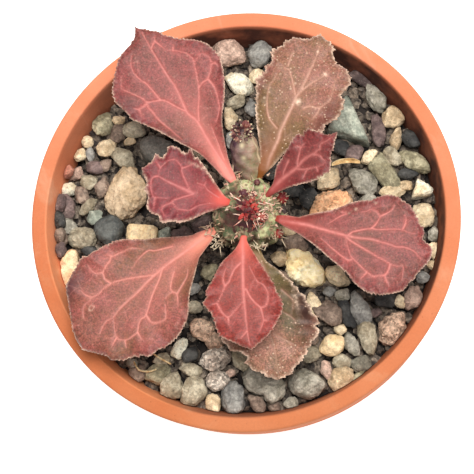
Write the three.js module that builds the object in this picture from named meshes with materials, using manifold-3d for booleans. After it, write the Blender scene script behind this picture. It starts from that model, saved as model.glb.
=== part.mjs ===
// A small succulent in a terracotta pot: thick stem, eight broad leaves, a side shoot, and stone mulch
// Millimetres, +Z up, the origin at the middle of the pot's foot
import * as THREE from 'three';
import { mergeVertices } from 'three/addons/utils/BufferGeometryUtils.js';
import Module from 'manifold-3d';

const wasm = await Module();
wasm.setup();

// Driving dimensions of the pot
const POT_HEIGHT = 95;
const RIM_RADIUS = 55;
const MOUTH_RADIUS = 51.1;
const LIP_DEPTH = 7;
const LIP_FLARE = 1.3;
const FOOT_RADIUS = 38;
const COLLAR_HEIGHT = 20;
const COLLAR_STEP = 2.6;
const COLLAR_FLARE = 1.2;
const WALL_THICKNESS = 4;
const FLOOR_THICKNESS = 6;
const DRAIN_RADIUS = 5;
const EDGE_ROUND = 0.9;
const POT_SIDES = 60;
const FILL_SIDES = 32;
const MIX_SIDES = 40;

// Fill of the pot
const CLEARANCE = 0.3;
const MIX_TOP = 82;
const BED_TOP = 86.4;
const STONE_LINE = 87.2;
const STONE_RISE = 0.38;
const STONE_FLATNESS = 0.8;
const FILLER_COUNT = 44;
const FILLER_RADIUS = [2.2, 3.2];
const FILLER_TRIES = 6000;
const FILLER_SPACING = 0.82;
const FILLER_SEED = 977;

// Stem: its axis, and pairs of height and radius from the buried end to the tip
const STEM_AXIS = [1.5, -0.5];
const STEM_PROFILE = [
  [72, 3.5], [80, 6], [88, 7.6], [94, 8.2], [99, 8.3], [103, 7.4], [105, 6.1],
  [107, 4.2], [108.6, 2.2], [109.4, 0.7],
];
const STEM_LEVELS = [72, 77, 82, 86, 89, 92, 94.5, 97, 99, 101, 103, 104.5, 106, 107.3, 108.5, 109.4];
const STEM_SIDES = 28;
const TUBERCLE_HEIGHT = 1.4;
const TUBERCLE_SPREAD = 2.5;

// Tubercles as turn in degrees and height: first those that carry leaves and buds, then the bare ones
const TUBERCLES = [
  [114, 103], [70, 101], [30, 106], [-18, 104], [265, 104.5], [283, 99], [206, 99], [165, 106.5],
  [19, 102], [-36, 100.5], [138, 102], [191, 103], [233, 102.5], [308, 103.5], [3, 106], [50, 104],
  [92, 105.5], [222, 95], [255, 96], [318, 96], [350, 97], [160, 97], [45, 97], [128, 96], [95, 97],
];

const SPINE_WIDTH = 0.75;
const SPINE_ROOT = 0.9;
const SPINE_SEED = 41;
const CROWN_SPINES = 13;
const CROWN_SPINE_LEVEL = 107.2;

// Side shoot: centre line from its root on the stem to its tip, and radius at each point
const SHOOT_LINE = [
  [1.9, 7.5, 96.5], [1.6, 10.5, 99], [1.2, 13.5, 102], [0.9, 16.5, 105], [0.8, 18.6, 107.4],
];
const SHOOT_RADII = [2.9, 3.4, 3.7, 3.5, 1.9];
const SHOOT_SIDES = 14;
const SHOOT_TIP = SHOOT_LINE[SHOOT_LINE.length - 1];

// Leaf blades: thickness at the margin, extra thickness at the stalk, and how fast that fades;
// the inner line runs at a share of the way from midrib to margin
const BLADE = 0.8;
const STALK = 1.7;
const STALK_FADE = 9;
const STALK_DEPTH = 3;
const STALK_HALF_WIDTH = 1.1;
const ABOVE_MIDDLE = 0.4;
const BELOW_MIDDLE = 0.6;
const INNER_LINE = 0.6;
const TOOTH = 0.32;
const TOOTH_START = 0.3;
const ROW_LENGTH = 2.7;

// Leaves: base point, heading in degrees, height gained at the tip, arch, channel of the blade,
// wave of the margin, and margins as pairs of length and width read in the leaf's own frame
const LEAVES = {
  leaf_upper_left: {
    base: [-2, 7.4, 103], turn: 122, rise: 10, arch: 1.5, channel: 1.6, wave: 0.5, waves: 5,
    left: [
      [0, 1.6], [5.3, 2.5], [10.7, 4.5], [22.7, 11.7], [24.9, 13.2], [27.9, 13.7], [30.5, 14.5],
      [33.1, 13.9], [34.3, 13.3], [36.5, 11.4], [40.1, 7.4], [42, 3], [42.9, 1.6],
    ],
    right: [
      [0, -1.4], [2.7, -1.4], [6.9, -2.7], [13, -5.6], [18.8, -10.1], [22.7, -12.3], [26.1, -13.5],
      [27.6, -13.5], [29.1, -13.3], [32.5, -11.6], [38.5, -5.2], [39.6, -4.7], [40.9, -3.7],
    ],
    tip: [44.8, 0.1],
  },
  leaf_upper_right: {
    base: [5.2, 9.9, 101], turn: 66, rise: 1, arch: 2, channel: 1.2, wave: 0.9, waves: 6,
    left: [
      [0, 1.5], [2.2, 1.7], [4.6, 2.4], [11.1, 6.2], [19.4, 9.9], [20.9, 10.3], [21.6, 10.1],
      [22.2, 9.5], [23.3, 9.7], [24.2, 9.6], [25.3, 9.9], [27.2, 8.8], [28.2, 9.6], [29.7, 10.2],
      [31.4, 9.4], [32, 8.7], [33.6, 7.9], [34.1, 7.1], [35.1, 6.4], [36.1, 4.3],
    ],
    right: [
      [0, -1.6], [5.1, -3.2], [6.8, -4.1], [13.1, -9.9], [14.8, -10.5], [16.8, -10.7],
      [19.1, -12.2], [20.7, -12.6], [22.4, -12.7], [24, -12.2], [25.7, -10.7], [29.2, -11.7],
      [31.5, -10.1], [32.8, -8.2], [33.4, -6], [35.2, -4.4], [36.4, -4.1], [37.3, -3.2], [38, -2],
    ],
    tip: [39, 0.6],
  },
  leaf_small_right: {
    base: [7.6, 3, 106.5], turn: 38, rise: 7.5, arch: 0.6, channel: 0.9, wave: 0.4, waves: 4,
    left: [
      [0, 1.1], [2.1, 1.3], [5, 3.4], [8.7, 4.7], [13.6, 6.1], [14.3, 5.8], [14.3, 5.2], [14.8, 5],
      [15.5, 5.3], [16.9, 4.9], [17.2, 3.9], [18.5, 2.6], [19.1, 1.1],
    ],
    right: [
      [0, -1.1], [3.5, -2.1], [6.6, -3.9], [10.3, -5.6], [11, -5.6], [11.8, -6.1], [12.6, -5.9],
      [14.2, -6.2], [17, -3.1], [17.9, -3.1], [18.4, -2.4],
    ],
    tip: [21.4, -0.2],
  },
  leaf_right: {
    base: [9.6, -3.1, 104], turn: -15, rise: 2, arch: 1.5, channel: 1.5, wave: 0.5, waves: 5,
    left: [
      [0, 1.2], [4.3, 1.2], [5.8, 1.7], [12.6, 4.8], [17.5, 7.8], [20.2, 9], [21.4, 9.4],
      [22.1, 10.1], [23.4, 10.9], [24.9, 11.4], [27.8, 11.7], [28.4, 11.2], [30.6, 10.5],
      [33.3, 7.7], [33.7, 6.9], [34, 6.3], [34.9, 6.1], [35.4, 5.3], [35.6, 4.1], [35.7, 3.2],
      [37.6, 2.2], [38.4, 1.1],
    ],
    right: [
      [0, -1.4], [6, -3], [12.7, -6.1], [19.7, -9.8], [22.3, -11.8], [25.9, -13.1], [27.5, -13],
      [29.1, -12.9], [30.5, -12.4], [33.1, -11], [34.1, -10], [35.1, -7.9], [35.9, -7],
      [36.3, -5.6], [38, -2.3], [38.4, -1.2],
    ],
    tip: [38.6, 0.2],
  },
  leaf_small_front: {
    base: [0.9, -7.6, 104.5], turn: -87, rise: 3.5, arch: 1, channel: 1, wave: 0.5, waves: 5,
    left: [
      [0, 1.2], [2.4, 1.3], [12.8, 6.8], [14.8, 7.4], [16.9, 8.5], [18.9, 8.8], [21.9, 7.4],
      [24.9, 5.4], [26.5, 3.2],
    ],
    right: [
      [0, -1.2], [2.7, -1.9], [6.7, -5.6], [12.3, -8.9], [13.9, -9.7], [14.9, -9.5], [15.9, -10.3],
      [16.8, -10.5], [19.5, -8.5], [22.8, -7.7], [24.1, -7.2], [25.1, -6.4],
    ],
    tip: [28.7, 0.7],
  },
  leaf_front: {
    base: [3.5, -9.5, 99], turn: -80, rise: 0.5, arch: 1.5, channel: 0.8, wave: 1, waves: 6,
    left: [
      [0, 1.3], [2.7, 1.6], [4.6, 2.6], [7.5, 5.3], [11.6, 7.9], [12.8, 8.5], [14.9, 10.1],
      [16, 10.1], [18.7, 10.8], [20.6, 12.1], [21.5, 11.8], [22.2, 11], [23.2, 11.7], [25.2, 10.5],
      [26.8, 8.5], [29.2, 7], [29.8, 6], [31.6, 3.9], [32.5, 2.5],
    ],
    right: [
      [0, -1.3], [7.1, -7.2], [10.4, -9.3], [13.6, -11.1], [16.5, -12.2], [19.2, -12.4],
      [21.2, -12.2], [22.9, -11.5], [24.3, -10.2], [25.8, -7.5], [26.9, -7.1], [27.8, -7.4],
      [28.9, -7], [31.8, -3.4],
    ],
    tip: [33.4, -0.2],
  },
  leaf_lower_left: {
    base: [-7.4, -4.9, 99], turn: -135, rise: 4, arch: 2, channel: 1.8, wave: 0.5, waves: 6,
    left: [
      [0, 1.4], [6.5, 2.8], [8.1, 3.5], [15, 7.9], [19.5, 11.6], [22.5, 13.1], [25.2, 13.7],
      [26.5, 13.6], [28.8, 13.2], [30.6, 12.5], [33.2, 12.1], [34.6, 10.3], [35.4, 10.1],
      [35.9, 9.2], [38.2, 8], [40.4, 5.8], [40.9, 3.5],
    ],
    right: [
      [0, -1.4], [3.5, -2.4], [5.2, -3.2], [12.3, -8.9], [18.1, -14], [21, -15.6], [24.1, -16.6],
      [26.5, -16.9], [28.2, -17.8], [33.8, -16.3], [35.9, -15.2], [38.5, -11.9], [42.7, -5.5],
    ],
    tip: [43.9, -1.5],
  },
  leaf_small_left: {
    base: [-2.6, 0.6, 107], turn: 159, rise: 6, arch: 0.8, channel: 1, wave: 0.6, waves: 5,
    left: [
      [0, 1.4], [3, 3.9], [7.9, 8.9], [9.2, 9.7], [10.4, 9.8], [12.8, 11], [13.3, 11], [13.7, 10.6],
      [14, 9.9], [15, 10], [16.7, 9.6], [18, 8.5], [18.2, 6.5], [18.9, 5.6], [19.6, 5.1], [19.7, 4],
      [20.7, 2.2], [21.6, 1.5],
    ],
    right: [
      [0, -1.2], [2.2, -1.6], [9.8, -6.8], [11.2, -7], [12.6, -8.6], [13.1, -8.7], [13.5, -7.7],
      [14.2, -7.3], [15.9, -7.7], [17.7, -7.6], [18.3, -7], [18.4, -6.4], [18.2, -5.8],
      [18.5, -5.1], [18.8, -4.4], [19.5, -4.1], [20.2, -4.4], [20.7, -3.8], [20.7, -2.4],
    ],
    tip: [22.4, 0.1],
  },
};

// Large stones, each its own piece: centre, length, width, turn of the length in degrees
const LARGE_STONES = {
  stone_tan_pumice: [-31.2, 8.7, 15, 11.2, 76],
  stone_dark_slate: [-23.6, 20.2, 12.6, 7.6, -26],
  stone_blue_slate: [-35.8, -1.6, 9, 8, 100],
  stone_peach: [-46, -11.5, 10.5, 5.6, 105],
  stone_cream_wedge: [-27.3, -2.4, 9, 4.8, -8],
  stone_pink_angular: [-4.2, 46, 10, 7.6, -32],
  stone_blue_round: [3.8, 45.3, 7.4, 6.8, 60],
  stone_cream_top: [-1.7, 38, 8, 6.4, -60],
  stone_green_wedge: [27, 26.1, 15.2, 9.4, -66],
  stone_lava: [22.1, 4.8, 12.6, 7, 17],
  stone_cream_pumice: [15.1, -12.2, 13, 9.2, -46],
  stone_grey_large: [15.4, -42, 9.6, 7.4, -12],
  stone_crumbly: [37.3, -28.2, 9.6, 7.4, 62],
  stone_granular: [-8, -35.6, 9, 6.6, 18],
  stone_yellow_round: [21.8, -32.4, 6.6, 5.8, 0],
  stone_white_triangle: [45.9, 7.9, 6.2, 5.4, 40],
  stone_long_green: [44, 15.3, 9.8, 5.2, -36],
};

// Smaller stones of the mulch, read the same way
const STONES = [
  [-38, 27.5, 6.6, 5.6, 70], [-42.4, 22.9, 3.2, 3, 0], [-37, 21, 5, 4.4, 10],
  [-44, 19.3, 3.6, 3, 60], [-41.5, 19.4, 4, 2.2, 95], [-40, 15.8, 5, 3.4, -20],
  [-37.3, 16.3, 4, 3, 30], [-32.4, 18.2, 7, 4.4, -35], [-34, 25.2, 5.4, 3.8, 80],
  [-34, 28.6, 3.2, 2.6, 0], [-30, 26.2, 6.6, 4.6, -15], [-31, 22.8, 3, 2, 20],
  [-45, 14, 4.2, 2.8, 35], [-47, 10, 4.4, 3.4, 0], [-41.6, 11.8, 4.2, 3.8, 0],
  [-43.6, 8.3, 5, 3.6, 110], [-38, 10.4, 5.6, 3.8, 80], [-41.8, 5.2, 5.4, 2.8, 55],
  [-47.8, 5.2, 6.6, 5, 115], [-40, 2.2, 4, 3.6, 0], [-47.3, 0, 5.2, 4, 0],
  [-43, -3.2, 6.8, 5.2, -12], [-48.5, -4, 4, 3.2, 90], [-40.6, -7, 5, 3.2, -35],
  [-21.4, -2.4, 3.6, 2.6, 20], [-29.4, -36.6, 3, 2.6, 0], [-27.8, -39, 4.8, 4, 50],
  [-22.6, -39.3, 6.6, 5, 20], [-21.8, -35.4, 4, 3, 0], [-19, -42.6, 7.4, 5.6, 70],
  [-13.2, -43.7, 8, 6, 78], [-14.2, -38.2, 5.6, 3.2, -18], [-8.2, -31.6, 5.4, 4.2, 80],
  [-11.2, -28, 6, 5.4, 0], [-13.4, -22, 4, 3, 0], [-14.5, -34.4, 4, 3.8, 0],
  [-17.2, -32.6, 5.2, 3.2, 70], [-7.4, -41, 5.4, 4.8, 40], [-4, -39.2, 2.4, 2, 0],
  [-3.4, -45.6, 8.4, 5.8, 100], [-8.5, -46.8, 4.4, 3.6, 80], [-1.8, -35.2, 7, 3.8, -60],
  [2.4, -41.4, 7.6, 5.4, -45], [7, -43.4, 7, 5.6, 70], [2.6, -46.9, 5.4, 3.2, -45],
  [7, -48, 3, 2.6, 0], [11.4, -47.1, 3.6, 3, 30], [16.4, -34.4, 5, 4.4, 0],
  [20.4, -39, 5, 2.9, 105], [24.4, -36.6, 4.6, 3.6, 0], [23.9, -40.8, 6.6, 5.4, 50],
  [26.6, -32.2, 6.6, 3.6, -70], [29.4, -37.4, 5, 4, 20], [31.1, -30.6, 8, 4.3, -75],
  [29, -23.4, 9.2, 4.6, -68], [25.6, -24, 8, 3, -75], [21.4, -24.2, 7, 5.6, -50],
  [24, -28.4, 3.2, 2.6, 0], [17, -21.6, 5, 3.8, -50], [23.6, -14.6, 6.6, 4.4, -35],
  [21.4, -18.4, 3.2, 2.6, 0], [24.6, -19.4, 3.6, 3, 0], [46, 1, 6, 4.8, 100],
  [48.4, -4, 3.6, 3, 90], [48.4, -8.4, 4.2, 2.8, 100], [47.8, -12.2, 3.2, 2.6, 0],
  [45.4, -15.2, 3.4, 3, 0], [42.8, -20.6, 6, 4.6, 70], [35.8, -21.2, 5, 3.4, 10],
  [39.4, -21.4, 3.2, 2.6, 90], [33, -24.2, 3.2, 2.2, 0], [28.4, -41, 4, 2.8, 30],
  [31.2, 38.8, 6.4, 4.6, -40], [34.3, 33, 8, 4.4, -62], [38.9, 27.6, 6.4, 5.4, 60],
  [34.7, 24, 8, 3.6, 100], [39.2, 21.6, 6, 2.8, 75], [43.5, 21.6, 5.4, 4.4, -50],
  [38, 16.5, 5.4, 4.2, -50], [42.2, 12, 5, 2.8, -10], [36.4, 12.6, 9.6, 4.4, -48],
  [30.5, 10.4, 8.2, 6, -52], [28.4, 18, 5, 4.4, 20], [32.2, 17, 4.6, 3, 40], [25, 19.6, 4.4, 4, 0],
  [21.3, 11.2, 6.2, 5, 20], [38, 7.4, 6.4, 3.8, 10], [41.4, 9, 3.2, 2.4, 0],
  [16.2, 6.4, 5, 4.4, 50], [3.2, 39.8, 4.4, 3.8, 30], [-2.6, 32.8, 5, 3.2, 20],
  [-4, 28.4, 6, 3.4, 100], [1.4, 31.2, 5, 3.2, 95], [-4, 22.4, 4.6, 2.6, 80],
  [11.2, -2.2, 4.4, 3, 10], [8.6, -9.6, 4.6, 3.6, -20], [-9.6, -12.6, 4.4, 3.4, 60],
  [-14, -17, 4.2, 3.4, 0], [12.4, 8.6, 5, 4, 0], [-12.6, 14.4, 5, 4, 30],
];

// Crowns on the two tips, and their young leaves: heading, lean from upright, length
const CROWN_CENTRE = [1.9, -0.5, 109.4];
const CROWN_RADIUS = 2.4;
const SHOOT_CROWN_RADIUS = 1.9;
const CROWN_LEAVES = [
  [205, 52, 3.4], [270, 40, 3], [335, 50, 3.6], [30, 58, 4.2], [90, 42, 3.2], [150, 48, 3.4],
];
const SHOOT_LEAVES = [
  [250, 60, 3.2], [315, 55, 3.4], [20, 60, 3.6], [75, 50, 4], [130, 55, 4], [190, 58, 3.4],
];

// Buds: centre, radius
const BUDS = {
  bud_purple: [0.8, 3.7, 107.9, 1.25],
  bud_spined: [5.3, -2.4, 107.5, 1.35],
  bud_red: [10.4, 2.6, 102.8, 1.5],
  bud_low: [9.2, -5.9, 100.6, 1.3],
};

const FINISHES = {
  terracotta: [0xd9855c, 0.9],
  soil: [0x3b2f27, 1],
  gravel: [0x8b867c, 0.9],
  stone: [0xa39c8c, 0.9],
  stem: [0x7c8266, 0.75],
  blade: [0xa35a56, 0.6],
  bud: [0x7a2630, 0.6],
};

// Seeded draw: the same run of numbers each time
function makeDraw(seed) {
  let state = seed;
  return (low, high) => {
    state = (state * 16807) % 2147483647;
    return low + (high - low) * (state / 2147483647);
  };
}

function radians(degrees) {
  return THREE.MathUtils.degToRad(degrees);
}

// Linear reading of a list of pairs
function valueAt(pairs, key) {
  const last = pairs.length - 1;
  if (key <= pairs[0][0]) return pairs[0][1];
  if (key >= pairs[last][0]) return pairs[last][1];
  const next = pairs.findIndex((pair) => pair[0] >= key);
  const [lowKey, lowValue] = pairs[next - 1];
  const [highKey, highValue] = pairs[next];
  return lowValue + ((highValue - lowValue) * (key - lowKey)) / (highKey - lowKey);
}

// Solid of a closed geometry, its shared points merged
function solidOf(geometry) {
  geometry.deleteAttribute('normal');
  geometry.deleteAttribute('uv');
  const merged = mergeVertices(geometry, 1e-4);
  return new wasm.Manifold(new wasm.Mesh({
    numProp: 3,
    vertProperties: Float32Array.from(merged.attributes.position.array),
    triVerts: Uint32Array.from(merged.index.array),
  }));
}

function geometryFrom(points, faces) {
  const geometry = new THREE.BufferGeometry();
  geometry.setAttribute('position', new THREE.Float32BufferAttribute(points.flat(), 3));
  geometry.setIndex(faces.flat());
  return geometry;
}

// The largest body of a solid, without loose scraps
function mainBody(solid) {
  const bodies = solid.decompose();
  return bodies.reduce((best, body) => (body.volume() > best.volume() ? body : best));
}

// Faces of a closed body through rings of points, with a fan to a middle point at each end
function loft(rings, start, end) {
  const sides = rings[0].length;
  const points = [...rings.flat(), start, end];
  const startIndex = points.length - 2;
  const endIndex = points.length - 1;
  const faces = [];
  for (let side = 0; side < sides; side += 1) {
    const next = (side + 1) % sides;
    for (let ring = 0; ring < rings.length - 1; ring += 1) {
      const low = ring * sides;
      const high = low + sides;
      faces.push([low + side, low + next, high + next], [low + side, high + next, high + side]);
    }
    const top = (rings.length - 1) * sides;
    faces.push([startIndex, next, side], [endIndex, top + side, top + next]);
  }
  return solidOf(geometryFrom(points, faces));
}

// Ring of points round a centre, square to a direction
function ringAround(centre, direction, radius, sides, squash = 1) {
  const axis = new THREE.Vector3(...direction).normalize();
  const reference = Math.abs(axis.z) > 0.9 ? new THREE.Vector3(1, 0, 0) : new THREE.Vector3(0, 0, 1);
  const across = new THREE.Vector3().crossVectors(reference, axis).normalize();
  const rise = new THREE.Vector3().crossVectors(axis, across);
  return Array.from({ length: sides }, (unused, side) => {
    const turn = (2 * Math.PI * side) / sides;
    const point = new THREE.Vector3(...centre);
    point.addScaledVector(across, radius * Math.cos(turn));
    point.addScaledVector(rise, radius * squash * Math.sin(turn));
    return point.toArray();
  });
}

function lathe(profile, sides) {
  const points = profile.map(([radius, height]) => new THREE.Vector2(radius, height));
  return solidOf(new THREE.LatheGeometry(points, sides).rotateX(Math.PI / 2));
}

// Inner radius of the pot at a height
function wallRadius(height) {
  const shoulder = POT_HEIGHT - LIP_DEPTH;
  const shoulderRadius = MOUTH_RADIUS - LIP_FLARE;
  const floorRadius = FOOT_RADIUS - WALL_THICKNESS;
  if (height > shoulder) {
    return THREE.MathUtils.mapLinear(height, shoulder, POT_HEIGHT, shoulderRadius, MOUTH_RADIUS);
  }
  return THREE.MathUtils.mapLinear(height, FLOOR_THICKNESS, shoulder, floorRadius, shoulderRadius);
}

function makePot() {
  const collarFoot = POT_HEIGHT - COLLAR_HEIGHT;
  const collarRadius = RIM_RADIUS - COLLAR_FLARE;
  const bodyTop = collarRadius - COLLAR_STEP;
  return lathe([
    [DRAIN_RADIUS, 0],
    [FOOT_RADIUS - EDGE_ROUND, 0],
    [FOOT_RADIUS, EDGE_ROUND],
    [bodyTop, collarFoot - COLLAR_STEP / 2],
    [collarRadius - EDGE_ROUND / 2, collarFoot],
    [collarRadius, collarFoot + EDGE_ROUND],
    [RIM_RADIUS, POT_HEIGHT - EDGE_ROUND],
    [RIM_RADIUS - EDGE_ROUND / 3, POT_HEIGHT - EDGE_ROUND / 3],
    [RIM_RADIUS - EDGE_ROUND, POT_HEIGHT],
    [MOUTH_RADIUS + EDGE_ROUND, POT_HEIGHT],
    [MOUTH_RADIUS, POT_HEIGHT - EDGE_ROUND],
    [wallRadius(POT_HEIGHT - LIP_DEPTH), POT_HEIGHT - LIP_DEPTH],
    [wallRadius(FLOOR_THICKNESS), FLOOR_THICKNESS],
    [DRAIN_RADIUS, FLOOR_THICKNESS],
    [DRAIN_RADIUS, 0],
  ], POT_SIDES);
}

// Round plug that fills the pot between two heights, clear of the wall
function fillBetween(low, high, sides) {
  return lathe([
    [0, low],
    [wallRadius(low) - CLEARANCE, low],
    [wallRadius(high) - CLEARANCE, high],
    [0, high],
  ], sides);
}

// Distance of the stem's skin from its axis
function stemRadius(turn, height, grow) {
  const radius = valueAt(STEM_PROFILE, height);
  let bump = 0;
  for (const [tubercleTurn, tubercleHeight] of TUBERCLES) {
    const offset = turn - radians(tubercleTurn);
    const apart = Math.atan2(Math.sin(offset), Math.cos(offset));
    const along = (apart * radius) / TUBERCLE_SPREAD;
    const up = (height - tubercleHeight) / TUBERCLE_SPREAD;
    bump = Math.max(bump, Math.exp(-along * along - up * up));
  }
  const fade = Math.min(1, radius / 4);
  return radius + TUBERCLE_HEIGHT * bump * fade + grow;
}

function stemPoint(turn, height, grow) {
  const radius = stemRadius(turn, height, grow);
  return [STEM_AXIS[0] + radius * Math.cos(turn), STEM_AXIS[1] + radius * Math.sin(turn), height];
}

function makeStem(grow) {
  const low = STEM_LEVELS[0];
  const high = STEM_LEVELS[STEM_LEVELS.length - 1];
  const middle = (low + high) / 2;
  const stretch = 1 + (2 * grow) / (high - low);
  const rings = STEM_LEVELS.map((level) => Array.from({ length: STEM_SIDES }, (unused, side) => {
    const point = stemPoint((2 * Math.PI * side) / STEM_SIDES, level, grow);
    return [point[0], point[1], middle + (point[2] - middle) * stretch];
  }));
  return loft(rings, [...STEM_AXIS, low - grow], [...STEM_AXIS, high + 0.2 + grow]);
}

// Three-sided spine from a root point along a direction
function spine(root, direction, length, width) {
  const heading = new THREE.Vector3(...direction).normalize();
  const base = new THREE.Vector3(...root).addScaledVector(heading, -SPINE_ROOT);
  const tip = new THREE.Vector3(...root).addScaledVector(heading, length);
  return loft([ringAround(base.toArray(), direction, width / 2, 3)], base.toArray(), tip.toArray());
}

// Short spines beside each tubercle and longer ones round the crown
function stemSpines() {
  const draw = makeDraw(SPINE_SEED);
  const spines = [];
  for (const [turnDegrees, height] of TUBERCLES) {
    for (const side of [-1, 1]) {
      const turn = radians(turnDegrees + side * draw(9, 13));
      const level = height + draw(0.3, 1.1);
      const lift = draw(0.5, 1.1);
      const direction = [Math.cos(turn + side * 0.3), Math.sin(turn + side * 0.3), lift];
      spines.push(spine(stemPoint(turn, level, 0), direction, draw(1.2, 1.9), SPINE_WIDTH));
    }
  }
  for (let index = 0; index < CROWN_SPINES; index += 1) {
    const turn = (2 * Math.PI * (index + draw(-0.2, 0.2))) / CROWN_SPINES;
    const level = CROWN_SPINE_LEVEL + (index % 3) * 0.5;
    const direction = [Math.cos(turn), Math.sin(turn), draw(0.35, 0.8)];
    spines.push(spine(stemPoint(turn, level, 0), direction, draw(2.2, 3), SPINE_WIDTH));
  }
  return spines;
}

function makeShoot(grow) {
  const rings = SHOOT_LINE.map((point, index) => {
    const before = SHOOT_LINE[Math.max(index - 1, 0)];
    const after = SHOOT_LINE[Math.min(index + 1, SHOOT_LINE.length - 1)];
    const direction = [after[0] - before[0], after[1] - before[1], after[2] - before[2]];
    return ringAround(point, direction, SHOOT_RADII[index] + grow, SHOOT_SIDES);
  });
  const [x, y, z] = SHOOT_TIP;
  return loft(rings, SHOOT_LINE[0], [x, y + 0.6, z + 0.8 + grow]);
}

// Small upright leaf of a crown: a flat four-sided spindle
function youngLeaf(root, heading, lean, length) {
  const out = Math.sin(radians(lean));
  const [across, ahead] = [Math.cos(radians(heading)), Math.sin(radians(heading))];
  const direction = [out * across, out * ahead, Math.cos(radians(lean))];
  const along = (share) => root.map((value, axis) => value + direction[axis] * length * share);
  const rings = [
    ringAround(along(-0.2), direction, 0.6, 4),
    ringAround(along(0.55), direction, 1, 4, 0.6),
  ];
  return loft(rings, along(-0.2), along(1));
}

// Cushion of young leaves on a growing tip
function makeCrown(centre, radius, leaves) {
  const [x, y, z] = centre;
  const cushion = loft([
    ringAround([x, y, z - 0.9], [0, 0, 1], radius, 10),
    ringAround([x, y, z + 0.3], [0, 0, 1], radius * 0.85, 10),
  ], [x, y, z - 0.9], [x, y, z + 0.9]);
  const tufts = leaves.map(([heading, lean, length]) => {
    const reach = radius * 0.45;
    const turn = radians(heading);
    const root = [x + reach * Math.cos(turn), y + reach * Math.sin(turn), z + 0.2];
    return youngLeaf(root, heading, lean, length);
  });
  return wasm.Manifold.union([cushion, ...tufts]);
}

// Bud: a small ball with a ring of short spines
function makeBud([x, y, z, radius]) {
  const ball = solidOf(new THREE.IcosahedronGeometry(radius, 1).translate(x, y, z));
  const outward = [x - STEM_AXIS[0], y - STEM_AXIS[1]];
  const heading = Math.atan2(outward[1], outward[0]);
  const spines = [-0.9, -0.3, 0.3, 0.9].map((offset) => {
    const direction = [Math.cos(heading + offset), Math.sin(heading + offset), 0.9];
    return spine([x, y, z + radius * 0.2], direction, radius + 1, SPINE_WIDTH);
  });
  return wasm.Manifold.union([ball, ...spines]);
}

// Points along a leaf margin at even steps, from the base to the tip
function marginPoints(knots, tip, steps) {
  const curve = new THREE.SplineCurve([...knots, tip].map(([u, v]) => new THREE.Vector2(u, v)));
  return curve.getSpacedPoints(steps).map((point) => [point.x, point.y]);
}

// Height of the blade's middle layer: share runs along the leaf, across from midrib to margin
function bladeHeight(leaf, u, share, across, side) {
  const along = THREE.MathUtils.clamp(u / leaf.tip[0], 0, 1);
  const root = Math.min(u, 0) * 0.6;
  const arch = leaf.arch * 4 * along * (1 - along);
  const channel = leaf.channel * across * across * Math.sin(Math.PI * (0.15 + 1.05 * along));
  const ripple = Math.sin(2 * Math.PI * leaf.waves * share + side);
  const waving = leaf.wave * across * across * Math.min(1, along * 3);
  return leaf.rise * along + root + arch + channel + waving * ripple;
}

// Grid of a blade seen in its own frame: middle line, inner line and toothed margin on each side
function bladeGrid(leaf, draw) {
  const rows = Math.round(leaf.tip[0] / ROW_LENGTH);
  const grid = [];
  const place = (u, v, share, across, side) => {
    const fade = Math.exp(-Math.max(u, 0) / STALK_FADE);
    const thickness = BLADE + STALK * fade * (1 - across * across);
    grid.push({ u, v, height: bladeHeight(leaf, u, share, across, side), thickness });
    return grid.length - 1;
  };
  const tipIndex = place(leaf.tip[0], leaf.tip[1], 1, 0, 0);
  const middle = Array.from({ length: rows }, (unused, row) => {
    const share = row / rows;
    return place(-STALK_DEPTH + (leaf.tip[0] + STALK_DEPTH) * share, leaf.tip[1] * share, share, 0, 0);
  });
  middle.push(tipIndex);
  const sides = [leaf.left, leaf.right].map((knots, sideIndex) => {
    const side = sideIndex === 0 ? 1 : -1;
    const foot = [[-STALK_DEPTH, side * STALK_HALF_WIDTH], ...knots];
    const margin = marginPoints(foot, leaf.tip, rows * 3);
    const inner = [];
    const edge = [];
    for (let step = 0; step < rows * 3; step += 1) {
      const share = step / (rows * 3);
      const centre = [-STALK_DEPTH + (leaf.tip[0] + STALK_DEPTH) * share, leaf.tip[1] * share];
      const reach = Math.hypot(margin[step][0] - centre[0], margin[step][1] - centre[1]);
      const tooth = share > TOOTH_START ? (step % 2 ? TOOTH : -TOOTH) * draw(0.6, 1.3) : 0;
      const mix = (factor) => centre.map((value, axis) => value + (margin[step][axis] - value) * factor);
      if (step % 3 === 0) inner.push(place(...mix(INNER_LINE), share, INNER_LINE, side));
      edge.push(place(...mix(1 + tooth / reach), share, 1, side));
    }
    inner.push(tipIndex);
    edge.push(tipIndex);
    return { side, inner, edge };
  });
  return { rows, grid, middle, sides };
}

// Triangles of one side of the blade, seen from above on the left side
function bladeFaces(rows, middle, inner, edge) {
  const faces = [];
  for (let row = 0; row < rows; row += 1) {
    const [e0, e1, e2, e3] = edge.slice(row * 3, row * 3 + 4);
    faces.push([middle[row], middle[row + 1], inner[row]]);
    faces.push([inner[row], e1, e0]);
    if (row < rows - 1) {
      faces.push([middle[row + 1], inner[row + 1], inner[row]]);
      faces.push([inner[row], inner[row + 1], e1], [inner[row + 1], e2, e1], [inner[row + 1], e3, e2]);
    } else {
      faces.push([inner[row], e2, e1], [inner[row], e3, e2]);
    }
  }
  return faces;
}

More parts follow.
